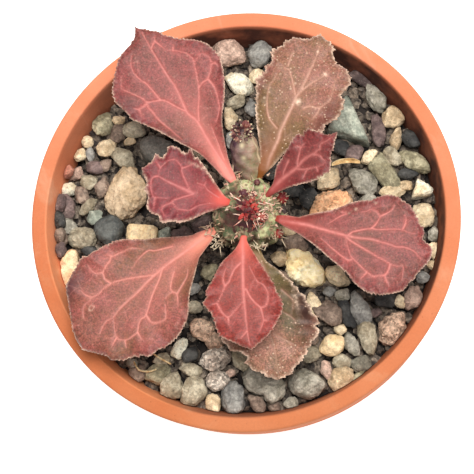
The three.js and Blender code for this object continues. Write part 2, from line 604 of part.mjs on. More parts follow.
function leafSolid(leaf, seed) {
  const { rows, grid, middle, sides } = bladeGrid(leaf, makeDraw(seed));
  const [left, right] = sides;
  const upper = [
    ...bladeFaces(rows, middle, left.inner, left.edge),
    ...bladeFaces(rows, middle, right.inner, right.edge).map((face) => [...face].reverse()),
  ];
  const count = grid.length;
  const lower = upper.map(([a, b, c]) => [c + count, b + count, a + count]);
  const rightWay = right.edge;
  const leftWay = [...left.edge].reverse().slice(1);
  const loop = [...rightWay, ...leftWay, left.inner[0], middle[0], right.inner[0]];
  const rim = loop.flatMap((from, index) => {
    const to = loop[(index + 1) % loop.length];
    return [[from + count, to + count, to], [from + count, to, from]];
  });
  const turn = radians(leaf.turn);
  const placed = (share) => grid.map(({ u, v, height, thickness }) => [
    leaf.base[0] + u * Math.cos(turn) - v * Math.sin(turn),
    leaf.base[1] + u * Math.sin(turn) + v * Math.cos(turn),
    leaf.base[2] + height + thickness * share,
  ]);
  const points = [...placed(ABOVE_MIDDLE), ...placed(-BELOW_MIDDLE)];
  return solidOf(geometryFrom(points, [...upper, ...lower, ...rim]));
}

// Large stone: a rounded block with uneven corners, squashed to length, width and height
function largeStone([x, y, length, width, turn], seed, grow) {
  const draw = makeDraw(seed);
  const height = width * STONE_FLATNESS;
  const top = STONE_LINE + STONE_RISE * width;
  const geometry = new THREE.IcosahedronGeometry(1, 1);
  geometry.deleteAttribute('normal');
  geometry.deleteAttribute('uv');
  const block = mergeVertices(geometry, 1e-4);
  const points = block.attributes.position;
  for (let index = 0; index < points.count; index += 1) {
    const bulge = draw(0.88, 1.1);
    points.setXYZ(
      index,
      points.getX(index) * bulge * (length / 2 + grow),
      points.getY(index) * bulge * (width / 2 + grow),
      points.getZ(index) * bulge * (height / 2 + grow),
    );
  }
  block.rotateX(radians(draw(-12, 12)));
  block.rotateZ(radians(turn));
  block.translate(x, y, top - height / 2);
  return solidOf(block);
}

// Small stone of the mulch: a low block with uneven sides, its foot sunk in the bed
function mulchStone([x, y, length, width, turn], seed) {
  const draw = makeDraw(seed);
  const sides = width < 4 ? 5 : 6;
  const height = width * STONE_FLATNESS;
  const top = STONE_LINE + STONE_RISE * width;
  const corners = Array.from({ length: sides }, (unused, side) => {
    const around = (2 * Math.PI * side) / sides + draw(-0.2, 0.2);
    const reach = draw(0.9, 1.08);
    return [reach * Math.cos(around) * length / 2, reach * Math.sin(around) * width / 2];
  });
  const spin = radians(turn);
  const ring = (scale, level) => corners.map(([u, v]) => [
    x + scale * (u * Math.cos(spin) - v * Math.sin(spin)),
    y + scale * (u * Math.sin(spin) + v * Math.cos(spin)),
    level + draw(-0.05, 0.05) * height,
  ]);
  const foot = BED_TOP - 1;
  const rings = [ring(1.03, foot), ring(0.8, top - 0.28 * height)];
  return loft(rings, [x, y, foot - 0.5], [x, y, top]);
}

// Seed of each large stone's uneven corners
function largeSeed(index) {
  return 301 + index * 13;
}

// Small stones that fill the gaps, thrown by a seeded rule and kept where they have room
function fillerStones(taken) {
  const draw = makeDraw(FILLER_SEED);
  const placed = taken.map(([x, y, length, width]) => [x, y, (length + width) / 4]);
  const stones = [];
  for (let tries = 0; tries < FILLER_TRIES && stones.length < FILLER_COUNT; tries += 1) {
    const radius = draw(...FILLER_RADIUS);
    const reach = Math.sqrt(draw(0, 1)) * (wallRadius(BED_TOP) - radius);
    const turn = draw(0, 2 * Math.PI);
    const x = reach * Math.cos(turn);
    const y = reach * Math.sin(turn);
    const room = placed.every(
      ([px, py, other]) => Math.hypot(x - px, y - py) > (radius + other) * FILLER_SPACING,
    );
    if (room) {
      placed.push([x, y, radius]);
      stones.push([x, y, radius * draw(2, 2.5), radius * draw(1.6, 1.9), draw(0, 180)]);
    }
  }
  return stones;
}

function makeGravel(stemHole, largeHoles) {
  const fillers = fillerStones([...Object.values(LARGE_STONES), ...STONES]);
  const pebbles = [...STONES, ...fillers].map((stone, index) => mulchStone(stone, 11 + index * 7));
  const bed = fillBetween(MIX_TOP + CLEARANCE, BED_TOP, FILL_SIDES);
  const inside = fillBetween(MIX_TOP + CLEARANCE, POT_HEIGHT - 1, FILL_SIDES);
  const loose = wasm.Manifold.union(pebbles).intersect(inside).subtract(wasm.Manifold.union(largeHoles));
  return mainBody(wasm.Manifold.union([bed, loose]).subtract(stemHole));
}

function meshOf(name, solid, finish) {
  const { vertProperties, triVerts, numProp } = solid.getMesh();
  const points = [];
  for (let index = 0; index < vertProperties.length; index += numProp) {
    points.push(Array.from(vertProperties.slice(index, index + 3)));
  }
  const geometry = geometryFrom(points, Array.from(triVerts));
  geometry.computeVertexNormals();
  const [color, roughness] = FINISHES[finish];
  const material = new THREE.MeshStandardMaterial({ color, roughness, metalness: 0 });
  const mesh = new THREE.Mesh(geometry, material);
  mesh.name = name;
  return mesh;
}

const stemHole = makeStem(CLEARANCE);
const shootHole = makeShoot(CLEARANCE);

// Pieces of the plant that stand on the stem, each cut clear of it and of the side shoot
const stemCrown = makeCrown(CROWN_CENTRE, CROWN_RADIUS, CROWN_LEAVES);
const shootCrown = makeCrown(SHOOT_TIP, SHOOT_CROWN_RADIUS, SHOOT_LEAVES);
const onStem = {
  side_shoot: [makeShoot(0).subtract(stemHole), 'stem'],
  crown: [stemCrown.subtract(stemHole), 'bud'],
  shoot_crown: [shootCrown.subtract(shootHole), 'bud'],
};
Object.entries(BUDS).forEach(([name, bud]) => {
  onStem[name] = [makeBud(bud).subtract(stemHole), 'bud'];
});
Object.entries(LEAVES).forEach(([name, leaf], index) => {
  onStem[name] = [leafSolid(leaf, 5 + index).subtract(stemHole).subtract(shootHole), 'blade'];
});

const largeStones = Object.values(LARGE_STONES);
const largeHoles = largeStones.map((stone, index) => largeStone(stone, largeSeed(index), CLEARANCE));
const overBed = fillBetween(BED_TOP + CLEARANCE, POT_HEIGHT - 1, FILL_SIDES);

const group = new THREE.Group();
const add = (name, solid, finish) => group.add(meshOf(name, mainBody(solid), finish));

add('pot', makePot(), 'terracotta');
const mix = fillBetween(FLOOR_THICKNESS + CLEARANCE, MIX_TOP, MIX_SIDES);
add('potting_mix', mix.subtract(stemHole), 'soil');
add('gravel', makeGravel(stemHole, largeHoles), 'gravel');
Object.keys(LARGE_STONES).forEach((name, index) => {
  const solid = largeStone(largeStones[index], largeSeed(index), 0).intersect(overBed);
  const earlier = largeHoles.slice(0, index);
  add(name, earlier.length ? solid.subtract(wasm.Manifold.union(earlier)) : solid, 'stone');
});

const clear = (one) => Object.values(onStem).every(([solid]) => one.minGap(solid, 1) > CLEARANCE);
add('stem', wasm.Manifold.union([makeStem(0), ...stemSpines().filter(clear)]), 'stem');
Object.entries(onStem).forEach(([name, [solid, finish]]) => add(name, solid, finish));

export default group;
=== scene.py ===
"""A small caudex plant in a terracotta pot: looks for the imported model, laid out as an add-on."""
import math

import bmesh
import bpy
import numpy as np
from mathutils import Euler, Matrix, Vector, noise


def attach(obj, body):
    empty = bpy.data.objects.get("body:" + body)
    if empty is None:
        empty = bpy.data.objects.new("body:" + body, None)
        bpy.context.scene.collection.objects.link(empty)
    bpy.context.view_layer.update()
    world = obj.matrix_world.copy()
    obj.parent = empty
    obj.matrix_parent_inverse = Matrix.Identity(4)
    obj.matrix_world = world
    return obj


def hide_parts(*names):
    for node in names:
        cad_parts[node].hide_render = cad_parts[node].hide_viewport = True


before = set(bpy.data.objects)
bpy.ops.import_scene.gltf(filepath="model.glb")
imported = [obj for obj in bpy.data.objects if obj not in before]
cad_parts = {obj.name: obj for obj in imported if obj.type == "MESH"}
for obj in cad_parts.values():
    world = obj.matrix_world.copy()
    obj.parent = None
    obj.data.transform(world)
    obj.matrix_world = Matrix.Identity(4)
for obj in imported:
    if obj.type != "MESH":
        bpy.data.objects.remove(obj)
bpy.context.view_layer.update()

bl_info = {
    "name": "Potted Caudex Plant",
    "version": (1, 0, 0),
    "blender": (4, 5, 0),
    "location": "View3D > Sidebar > Plant",
    "description": "Builds a terracotta pot with stone mulch and a young red-leaved succulent",
    "category": "Add Mesh",
}

MM = 0.001
WHITE = (1, 1, 1, 1)

# Pot, in millimetres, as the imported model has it
POT_HEIGHT = 95.0
RIM_RADIUS = 55.0
MOUTH_RADIUS = 51.1
LIP_DEPTH = 7.0
LIP_FLARE = 1.3
FOOT_RADIUS = 38.0
COLLAR_HEIGHT = 20.0
COLLAR_STEP = 2.6
COLLAR_FLARE = 1.2
WALL_THICKNESS = 4.0
FLOOR_THICKNESS = 6.0
DRAIN_RADIUS = 5.0

# Seeds of the draws
SCAR_SEED = 83
SCALE_SEED = 29
SPINE_SEED = 41
CLAW_SEED = 73
CROWN_SEED = 61
SHOOT_SEED = 67
LEAF_SEED = 5
GRIT_SEED = 4
FILLER_SEED = 977

# Mulch
STONE_LINE = 87.2
STONE_RISE = 0.38
STONE_FLATNESS = 0.8
STONE_SPREAD = (1.13, 1.15)
BED_LEVEL = 84.2
BED_FLOOR = 82.6
GRIT_DENSITY = 400000.0
WALL_ROOM = 0.25
FILLER_COUNT = 44
FILLER_TRIES = 6000
FILLER_RADIUS = (2.2, 3.2)
FILLER_SPACING = 0.82
FILLER_LEVEL = 86.4
FILLER_KINDS = ("grey", "beige", "dark", "brown", "olive", "blue", "tan", "purple")

# Stem: pairs of height and radius, then tubercles as turn in degrees and height
STEM_AXIS = (1.5, -0.5)
STEM_PROFILE = (
    (72, 3.5), (80, 6), (88, 7.6), (94, 8.2), (99, 8.3), (103, 7.4), (105, 6.1),
    (107, 4.2), (108.6, 2.2), (109.4, 0.7),
)
STEM_FOOT = 84
STEM_RISE = 25.35
STEM_TIP = 109.5
TUBERCLE_HEIGHT = 1.4
TUBERCLE_VALLEY = 0.7
TUBERCLE_SPREAD = 2.5
TUBERCLES = (
    (114, 103), (70, 101), (30, 106), (-18, 104), (265, 104.5), (283, 99), (206, 99), (165, 106.5), (19, 102),
    (-36, 100.5), (138, 102), (191, 103), (233, 102.5), (308, 103.5), (3, 106), (50, 104), (92, 105.5),
    (222, 95), (255, 96), (318, 96), (350, 97), (160, 97), (45, 97), (128, 96), (95, 97),
)

# Side shoot: line through its middle, radii along it, and leaf scars as turn and share of its length
SHOOT_LINE = (
    (1.9, 7.5, 96.5), (1.6, 10.5, 99), (1.2, 13.5, 102), (0.9, 16.5, 105), (0.8, 18.6, 107.4),
)
SHOOT_RADII = (2.9, 3.4, 3.7, 3.5, 1.9)
SHOOT_SCARS = ((1.48, 0.86), (1.48, 0.64))
SHOOT_LENGTH = 14

# Leaf blades: thickness at the margin and more at the stalk, and the shares above and below the middle
BLADE = 0.8
STALK = 1.7
STALK_FADE = 9.0
STALK_DEPTH = 3.0
STALK_HALF_WIDTH = 1.1
ABOVE_MIDDLE = 0.4
BELOW_MIDDLE = 0.6

# Leaf veins as width at root and tip and as dents above and below, usual flush at the stalk, farthest gap
MIDRIB_WIDTHS = (0.55, 0.2)
VEIN_WIDTHS = (0.27, 0.16)
VEIN_DENTS = (0.07, 0.1)
FLUSH = 0.32
FARTHEST_GAP = 9.0

# Leaves: lines as pairs of length and width, patches as kind, place, two reaches, strength and hollow
LEAVES = {
    "leaf_upper_left": {
        "base": (-2, 7.4, 103), "turn": 122, "rise": 10, "arch": 1.5, "channel": 1.6, "wave": 0.5, "waves": 5,
        "tip": (44.8, 0.1), "tooth": 0.36, "flush": 0.55, "rim": (0.24, 0.75),
        "tones": ("mauve", "rose", "coral"),
        "left": (
            (0, 1.6), (5.3, 2.5), (10.7, 4.5), (22.7, 11.7), (24.9, 13.2), (27.9, 13.7), (30.5, 14.5),
            (33.1, 13.9), (34.3, 13.3), (36.5, 11.4), (40.1, 7.4), (42, 3), (42.9, 1.6),
        ),
        "right": (
            (0, -1.4), (2.7, -1.4), (6.9, -2.7), (13, -5.6), (18.8, -10.1), (22.7, -12.3), (26.1, -13.5),
            (27.6, -13.5), (29.1, -13.3), (32.5, -11.6), (38.5, -5.2), (39.6, -4.7), (40.9, -3.7),
        ),
        "midrib": (
            (0.8, -0.1), (3.8, -0.3), (10.2, -0.1), (16.1, -0.3), (18.5, 0.4), (20.1, 0.6), (26.5, -0.3),
            (29, -0.1), (36, -0.2), (42.2, -0.5),
        ),
        "veins": (
            ((16.3, -0.8), (18.5, -2), (22.5, -4.8), (29, -7.5), (30.4, -7.6), (31.9, -7), (34.2, -4.9),
             (34.9, -3.6)),
            ((34.3, -4.7), (35.6, -5.5)),
            ((23.1, -5.2), (23.6, -6.7), (23.7, -8.3), (25.7, -10.5), (27.6, -11.4), (28.7, -11),
             (29.7, -10.1), (29, -7.9)),
            ((23.5, -8.2), (20.6, -8.4), (17, -7.2), (15.5, -6.3), (14.1, -4.9), (13.6, -4.1)),
            ((26.2, -10.8), (26, -11.9), (24.7, -12)),
            ((19.9, 0.7), (21.4, 1.8), (24.5, 3.6), (25.5, 4.8), (26.7, 7.8), (27.9, 8.2), (31.8, 10.7),
             (33, 11.2), (34.4, 10.6), (35.7, 9.8)),
            ((25.4, 4.6), (27.1, 4.9), (30.6, 5.4), (32.2, 6.1), (34.3, 6.6), (36, 6.4), (37.4, 5.8),
             (38.6, 4.8)),
            ((26.7, 7.8), (25.5, 8.2), (23.8, 7.9), (22, 7.8), (20.3, 7.4), (14.4, 5.4)),
            ((26.4, 8.3), (26.2, 10.4), (27, 11.3)),
            ((26.2, 10.4), (24.1, 10.9)),
            ((5.3, -1), (13.2, -2.6)),
            ((37.5, -0.2), (38.3, -1.3), (38.7, -2.1), (39.8, -2.8)),
            ((38.7, -2.1), (35.6, -3.2)),
        ),
        "patches": (("inner", 17, 6, 5, 3, 0.3, 0), ("outer", 24, 12.5, 7, 2.2, 0.6, 0)),
    },
    "leaf_upper_right": {
        "base": (5.2, 9.9, 101), "turn": 66, "rise": 1, "arch": 2, "channel": 1.2, "wave": 0.9, "waves": 6,
        "tip": (39, 0.6), "tooth": 0.5, "scallop": (0.2, 1.9), "flush": 0.8, "rim": (0.4, 1),
        "tones": ("olive_rose", "pale_rose", "olive"),
        "left": (
            (0, 1.5), (2.2, 1.7), (4.6, 2.4), (11.1, 6.2), (19.4, 9.9), (20.9, 10.3), (21.6, 10.1),
            (22.2, 9.5), (23.3, 9.7), (24.2, 9.6), (25.3, 9.9), (27.2, 8.8), (28.2, 9.6), (29.7, 10.2),
            (31.4, 9.4), (32, 8.7), (33.6, 7.9), (34.1, 7.1), (35.1, 6.4), (36.1, 4.3),
        ),
        "right": (
            (0, -1.6), (5.1, -3.2), (6.8, -4.1), (13.1, -9.9), (14.8, -10.5), (16.8, -10.7), (19.1, -12.2),
            (20.7, -12.6), (22.4, -12.7), (24, -12.2), (25.7, -10.7), (29.2, -11.7), (31.5, -10.1),
            (32.8, -8.2), (33.4, -6), (35.2, -4.4), (36.4, -4.1), (37.3, -3.2), (38, -2),
        ),
        "midrib": (
            (1.5, -1.1), (3.7, -0.7), (8.7, -0.8), (11.3, -0.5), (18.4, -0.7), (20.6, -0.6), (22.2, -1),
            (26.9, -1.1), (31.5, -1), (35.6, -0.6),
        ),
        "veins": (
            ((21.2, 0), (23, 1.1), (26.1, 3.5), (26.5, 4.5), (26.3, 5.5), (25.9, 6.5)),
            ((27.4, 4.6), (29.9, 4.9), (31.5, 4.8)),
            ((11.4, 0.7), (12.6, 3.1), (13.8, 4.2), (15.1, 5), (17, 5.8), (19, 6.4), (20.9, 6.7),
             (22.7, 6.4), (24.5, 6.4)),
            ((21.1, -0.6), (24.7, -2.3), (26.3, -3.3), (27.6, -4.4), (28.8, -5), (29.7, -5.1)),
            ((18.7, -3.6), (19.7, -4.8), (19.9, -6.1), (20.4, -7.3), (21.6, -8.1), (23, -8.9), (26.8, -8.3),
             (28.5, -7.9)),
            ((20.4, -7.3), (18.6, -7.2), (16.5, -6.7)),
        ),
        "patches": (
            ("inner", 8.5, 0.5, 7.5, 5.5, 1, 0), ("inner", 15, 7.5, 6, 3, 0.7, 0),
            ("outer", 17.5, -9.8, 6, 2.8, 0.8, 0), ("outer", 20, 9, 7, 1.6, 0.6, 0),
            ("spot", 19.6, -1.6, 0.8, 0.7, 1, 0), ("spot", 28.8, -5, 0.5, 0.5, 0.9, 0),
            ("outer", 3.7, 1.5, 5, 2.6, 0.7, 0), ("spot", 33.9, -0.8, 0.35, 0.35, 0.8, 0),
        ),
    },
    "leaf_small_right": {
        "base": (7.6, 3, 106.5), "turn": 38, "rise": 7.5, "arch": 0.6, "channel": 0.9, "wave": 0.4,
        "waves": 4, "tip": (21.4, -0.2), "tooth": 0.5, "rim": (0.24, 0.7),
        "tones": ("crimson", "dull_rose", "brick"),
        "left": (
            (0, 1.1), (2.1, 1.3), (5, 3.4), (8.7, 4.7), (13.6, 6.1), (14.3, 5.8), (14.3, 5.2), (14.8, 5),
            (15.5, 5.3), (16.9, 4.9), (17.2, 3.9), (18.5, 2.6), (19.1, 1.1),
        ),
        "right": (
            (0, -1.1), (3.5, -2.1), (6.6, -3.9), (10.3, -5.6), (11, -5.6), (11.8, -6.1), (12.6, -5.9),
            (14.2, -6.2), (17, -3.1), (17.9, -3.1), (18.4, -2.4),
        ),
        "midrib": (
            (0.9, 0.2), (4.2, 0.3), (8.7, -0.1), (11, 0.2), (13.4, -0.2), (14.3, -0.5), (14.9, -0.3),
            (15.7, -0.5), (16.6, 0.3), (17.9, -0.1), (19.6, -0.3),
        ),
        "veins": (
            ((9.1, 0), (10, 1.1), (12.3, 2.8), (14.1, 3.1)),
            ((12.5, 3), (11.9, 3.8), (11.2, 4.1)),
            ((13.7, -0.6), (14.4, -1.3), (14.7, -2.1), (14.6, -3), (15, -3.6)),
            ((8.5, -0.3), (9.5, -1.5), (10.7, -2.4), (13.3, -3.8), (14.5, -3.9)),
            ((10.2, -2.2), (8.1, -3.2)),
            ((8.2, 2.6), (5.8, 1.4), (4.8, 0.7)),
            ((12.3, -3.5), (11.8, -4.6)),
        ),
        "patches": (),
    },
    "leaf_right": {
        "base": (9.6, -3.1, 104), "turn": -15, "rise": 2, "arch": 1.5, "channel": 1.5, "wave": 0.5,
        "waves": 5, "tip": (38.6, 0.2), "tooth": 0.38, "rim": (0.24, 0.7), "tones": ("mauve", "rose", "red"),
        "left": (
            (0, 1.2), (4.3, 1.2), (5.8, 1.7), (12.6, 4.8), (17.5, 7.8), (20.2, 9), (21.4, 9.4), (22.1, 10.1),
            (23.4, 10.9), (24.9, 11.4), (27.8, 11.7), (28.4, 11.2), (30.6, 10.5), (33.3, 7.7), (33.7, 6.9),
            (34, 6.3), (34.9, 6.1), (35.4, 5.3), (35.6, 4.1), (35.7, 3.2), (37.6, 2.2), (38.4, 1.1),
        ),
        "right": (
            (0, -1.4), (6, -3), (12.7, -6.1), (19.7, -9.8), (22.3, -11.8), (25.9, -13.1), (27.5, -13),
            (29.1, -12.9), (30.5, -12.4), (33.1, -11), (34.1, -10), (35.1, -7.9), (35.9, -7), (36.3, -5.6),
            (38, -2.3), (38.4, -1.2),
        ),
        "midrib": (
            (1, -0.5), (7.7, -0.1), (9.6, -0.3), (17, -0.6), (20.5, -0.5), (22.3, -0.2), (24.2, -0.1),
            (28.5, -0.3), (29.8, -0.5), (31.7, -0.1), (33.7, -0.3), (35.1, -1), (36.3, -1.9),
        ),
        "veins": (
            ((17.8, -0.4), (19, 0.8), (22.6, 2.4), (24.5, 2.6), (28.3, 3.7), (30.3, 4), (32, 3.7),
             (33.5, 3.8)),
            ((30.3, 4), (30.6, 5.4), (30.5, 7), (29.9, 7.7)),
            ((22.6, 2.3), (23.5, 3.4), (24, 4.7), (24.2, 5.9), (23.2, 6.8), (21.7, 7.1), (20.8, 6.4),
             (19.5, 5.9)),
            ((24.3, 6), (25.6, 7), (26.6, 8.2), (26.9, 9.4)),
            ((17.3, -0.8), (19.5, -1.9), (29.5, -4.9), (32.4, -4.7), (32.9, -6.4), (33, -8)),
            ((29.4, -5), (29.4, -6.5), (28.8, -8), (27.3, -8.6), (25.6, -8.8), (20.7, -6.1), (19.4, -5),
             (17.4, -1.3)),
            ((20, -6.3), (18.5, -6.4), (11.5, -2.8)),
            ((28.8, -8.2), (30.5, -10.6)),
            ((24.4, -8.5), (23.3, -10.5)),
            ((15, 4.8), (16.1, 4.6), (14.7, 3.6), (12.3, 1.2)),
        ),
        "patches": (
            ("inner", 20.8, -0.7, 4.2, 1.8, 0.8, 0), ("spot", 18.1, 6.2, 0.3, 0.3, 0.8, 0),
            ("spot", 22.5, 8.8, 0.3, 0.3, 0.8, 0), ("spot", 16.7, 4.9, 0.25, 0.25, 0.7, 0),
        ),
    },
    "leaf_small_front": {
        "base": (0.9, -7.6, 104.5), "turn": -87, "rise": 3.5, "arch": 1, "channel": 1, "wave": 0.5,
        "waves": 5, "tip": (28.7, 0.7), "tooth": 0.42, "rim": (0.24, 0.6),
        "tones": ("madder", "rose", "scarlet"),
        "left": (
            (0, 1.2), (2.4, 1.3), (12.8, 6.8), (14.8, 7.4), (16.9, 8.5), (18.9, 8.8), (21.9, 7.4),
            (24.9, 5.4), (26.5, 3.2),
        ),
        "right": (
            (0, -1.2), (2.7, -1.9), (6.7, -5.6), (12.3, -8.9), (13.9, -9.7), (14.9, -9.5), (15.9, -10.3),
            (16.8, -10.5), (19.5, -8.5), (22.8, -7.7), (24.1, -7.2), (25.1, -6.4),
        ),
        "midrib": ((0.5, -0.1), (10.1, -0.5), (15.9, -0.5), (25.2, 0), (27.6, 0.3)),
        "veins": (
            ((6.9, -0.9), (8.3, -2.4), (9.9, -3.3), (11.6, -4), (12.6, -4.9), (15.5, -6.4), (16.7, -7.1),
             (16.8, -8.4)),
            ((12.6, -5), (11.2, -5.4), (9.3, -5.1), (8, -4.6)),
            ((16.7, -7.1), (18.3, -6.5), (19.6, -5.7), (20.4, -4.6), (19.5, -3.4), (16.8, -0.8)),
            ((20.4, -4.6), (22.2, -4.5)),
            ((13.7, 0.1), (15.5, 0.9), (17, 1.9), (18, 2.9), (18.5, 3.7), (18, 4.9), (16.4, 5.4),
             (14.5, 5.2), (12.8, 4.3), (12.1, 3.1), (10.4, 2.2), (8.1, 1.2)),
            ((18.4, 3.4), (21.7, 3.9), (24.1, 3)),
            ((21.7, 3.9), (22, 5.1)),
            ((24.1, -0.2), (25.7, -1.7)),
        ),
        "patches": (),
    },
    "leaf_front": {
        "base": (3.5, -9.5, 99), "turn": -80, "rise": 0.5, "arch": 1.5, "channel": 0.8, "wave": 1, "waves": 6,
        "tip": (33.4, -0.2), "tooth": 0.42, "scallop": (0.3, 2.8), "rim": (0.42, 1),
        "tones": ("brown_olive", "dusty", "tan_olive"),
        "left": (
            (0, 1.3), (2.7, 1.6), (4.6, 2.6), (7.5, 5.3), (11.6, 7.9), (12.8, 8.5), (14.9, 10.1), (16, 10.1),
            (18.7, 10.8), (20.6, 12.1), (21.5, 11.8), (22.2, 11), (23.2, 11.7), (25.2, 10.5), (26.8, 8.5),
            (29.2, 7), (29.8, 6), (31.6, 3.9), (32.5, 2.5),
        ),
        "right": (
            (0, -1.3), (7.1, -7.2), (10.4, -9.3), (13.6, -11.1), (16.5, -12.2), (19.2, -12.4), (21.2, -12.2),
            (22.9, -11.5), (24.3, -10.2), (25.8, -7.5), (26.9, -7.1), (27.8, -7.4), (28.9, -7), (31.8, -3.4),
        ),
        "midrib": (
            (0.4, -0.5), (3.9, 0.9), (10.1, 1.9), (16.4, 1.2), (21.9, -0.2), (23.7, 0.1), (25.7, 0.2),
            (31.2, 0),
        ),
        "veins": (
            ((15.3, 2.2), (17.1, 3.6), (19, 5.7), (20.9, 6.7)),
            ((11.9, 4.6), (13.5, 5.8), (14.9, 6.7), (16.7, 6.5), (18.5, 5.6)),
            ((24.6, -4.9), (24.7, -3.7), (24.5, -2.1), (24.1, -0.4)),
            ((22.4, 0.9), (24.5, 3.5), (25.4, 4.8), (26.5, 5.6)),
        ),
        "patches": (
            ("inner", 7, 2.6, 8.5, 6, 1, 0), ("inner", 16, 5.6, 5, 3.6, 0.8, 0),
            ("outer", 17.5, 9.2, 8, 3, 1, 0), ("spot", 15.1, 7.5, 3.2, 0.5, 0.5, 0),
        ),
    },
    "leaf_lower_left": {
        "base": (-7.4, -4.9, 99), "turn": -135, "rise": 4, "arch": 2, "channel": 1.8, "wave": 0.5, "waves": 6,
        "tip": (43.9, -1.5), "tooth": 0.32, "rim": (0.24, 0.7),
        "tones": ("rosewood", "salmon", "salmon_stalk"),
        "left": (
            (0, 1.4), (6.5, 2.8), (8.1, 3.5), (15, 7.9), (19.5, 11.6), (22.5, 13.1), (25.2, 13.7),
            (26.5, 13.6), (28.8, 13.2), (30.6, 12.5), (33.2, 12.1), (34.6, 10.3), (35.4, 10.1), (35.9, 9.2),
            (38.2, 8), (40.4, 5.8), (40.9, 3.5),
        ),
        "right": (
            (0, -1.4), (3.5, -2.4), (5.2, -3.2), (12.3, -8.9), (18.1, -14), (21, -15.6), (24.1, -16.6),
            (26.5, -16.9), (28.2, -17.8), (33.8, -16.3), (35.9, -15.2), (38.5, -11.9), (42.7, -5.5),
        ),
        "midrib": (
            (0.4, 0.3), (13.3, -1.4), (19.9, -1.8), (24, -1.6), (29.7, -1.8), (32.9, -1.4), (34.5, -1.9),
            (36.2, -1.6), (37.9, -0.9),
        ),
        "veins": (
            ((18.1, -1.7), (22.9, -5.4), (26.6, -7.7), (27.6, -8), (29.4, -8.3), (31.3, -8.2), (33.1, -8.7),
             (34.2, -8.6), (35.8, -8.8), (37.2, -7.8), (38, -6.6)),
            ((33, -8.8), (33.7, -10.4), (33.8, -11.9)),
            ((27.3, -8.4), (27.5, -9.8), (26.9, -11.3), (28.1, -12.4), (28.3, -14), (28.1, -15.3)),
            ((26.7, -11.4), (25.1, -11.9), (23.4, -12.2), (22.4, -12.6), (18.1, -11), (16.8, -10),
             (15.7, -8.5)),
            ((22.3, -12.6), (22.8, -13.7)),
            ((10, -4), (13.7, -6.2), (15.1, -7.4), (18.5, -7.5), (20.2, -7)),
            ((16, -1.4), (18.3, -0.1), (22, 1.5), (26.7, 4), (28.3, 3.9), (29.6, 4.5), (31.1, 5.6),
             (32.6, 5.5), (34.1, 5.1), (35.3, 4), (35.6, 2.8), (34.9, 1.4), (33, -1)),
            ((26.6, 4.1), (27, 5.8), (26.7, 6.9), (25.5, 7.8), (24, 8.3), (22.7, 7.1), (21.6, 5.7)),
            ((31.1, 5.6), (31.5, 7.2), (31.5, 8.7)),
            ((35.6, 2.8), (37, 3.2), (38.3, 3.7)),
            ((34.7, 4.8), (35.7, 6.2)),
            ((14.2, 1.1), (16.2, 2.3), (17.7, 3.5), (18.1, 4.5), (19.6, 4.3), (20.5, 4.6)),
            ((18.1, 4.5), (17.7, 5.8), (19.6, 8.2)),
            ((17.6, 5.8), (13.4, 4.6), (11.4, 3.2)),
        ),
        "patches": (
            ("spot", 35, -7, 1, 0.62, 0.36, 0.78), ("inner", 13, -7.5, 8, 3.4, 0.9, 0),
            ("inner", 11.5, 5.5, 5.5, 2.6, 0.9, 0), ("outer", 36, -15, 5.5, 2.4, 1, 0),
            ("inner", 37.6, 6, 5, 2, 0.7, 0),
        ),
    },
    "leaf_small_left": {
        "base": (-2.6, 0.6, 107), "turn": 159, "rise": 6, "arch": 0.8, "channel": 1, "wave": 0.6, "waves": 5,
        "tip": (22.4, 0.1), "tooth": 0.45, "rim": (0.42, 0.95), "tones": ("wine", "rose_wine", "poppy"),
        "left": (
            (0, 1.4), (3, 3.9), (7.9, 8.9), (9.2, 9.7), (10.4, 9.8), (12.8, 11), (13.3, 11), (13.7, 10.6),
            (14, 9.9), (15, 10), (16.7, 9.6), (18, 8.5), (18.2, 6.5), (18.9, 5.6), (19.6, 5.1), (19.7, 4),
            (20.7, 2.2), (21.6, 1.5),
        ),
        "right": (
            (0, -1.2), (2.2, -1.6), (9.8, -6.8), (11.2, -7), (12.6, -8.6), (13.1, -8.7), (13.5, -7.7),
            (14.2, -7.3), (15.9, -7.7), (17.7, -7.6), (18.3, -7), (18.4, -6.4), (18.2, -5.8), (18.5, -5.1),
            (18.8, -4.4), (19.5, -4.1), (20.2, -4.4), (20.7, -3.8), (20.7, -2.4),
        ),
        "midrib": ((8.6, 1.4), (14.6, 1.1), (17.9, 0.7), (18.8, 1.1)),
        "veins": (
            ((9.4, 1.2), (12.9, -2.4), (13.2, -3.4), (14.3, -4.2), (15.3, -4.7), (16.2, -4.4), (17, -3.7),
             (17.6, -2.7), (18.1, -1.4), (18, -0.3), (17.6, 0.6)),
            ((13.2, -3.4), (10.8, -5.4)),
            ((18.1, -1.4), (19.3, -2.3), (19.8, -2.9)),
            ((17.9, 0.7), (18.7, 1.3), (19, 2.2), (18.6, 3.6), (18, 4.8), (17.3, 5.6), (16.6, 5.8),
             (13.6, 5.1)),
            ((8.5, 1.6), (12, 4.6), (12.3, 5.3), (11.7, 6), (10.4, 6.5), (9, 6.2), (7.7, 5.6), (6.2, 3.6),
             (3.5, 1.9)),
            ((12.4, 5.5), (13.5, 6.7), (14.1, 7.8), (13.4, 8.9), (11.9, 9.9)),
            ((2.7, -0.1), (5.5, -0.7), (6.8, -1.5), (8.6, -1.3)),
            ((6.8, -1.5), (6.7, -2.6)),
            ((16.6, 5.8), (16.2, 7.6), (15.7, 9)),
        ),
        "patches": (
            ("spot", 11.1, -7.6, 1, 0.6, 0.9, 0), ("spot", 15.1, 10.4, 1.2, 0.6, 0.9, 0),
            ("spot", 6.9, -5.3, 4, 0.5, 0.6, 0),
        ),
    },
}

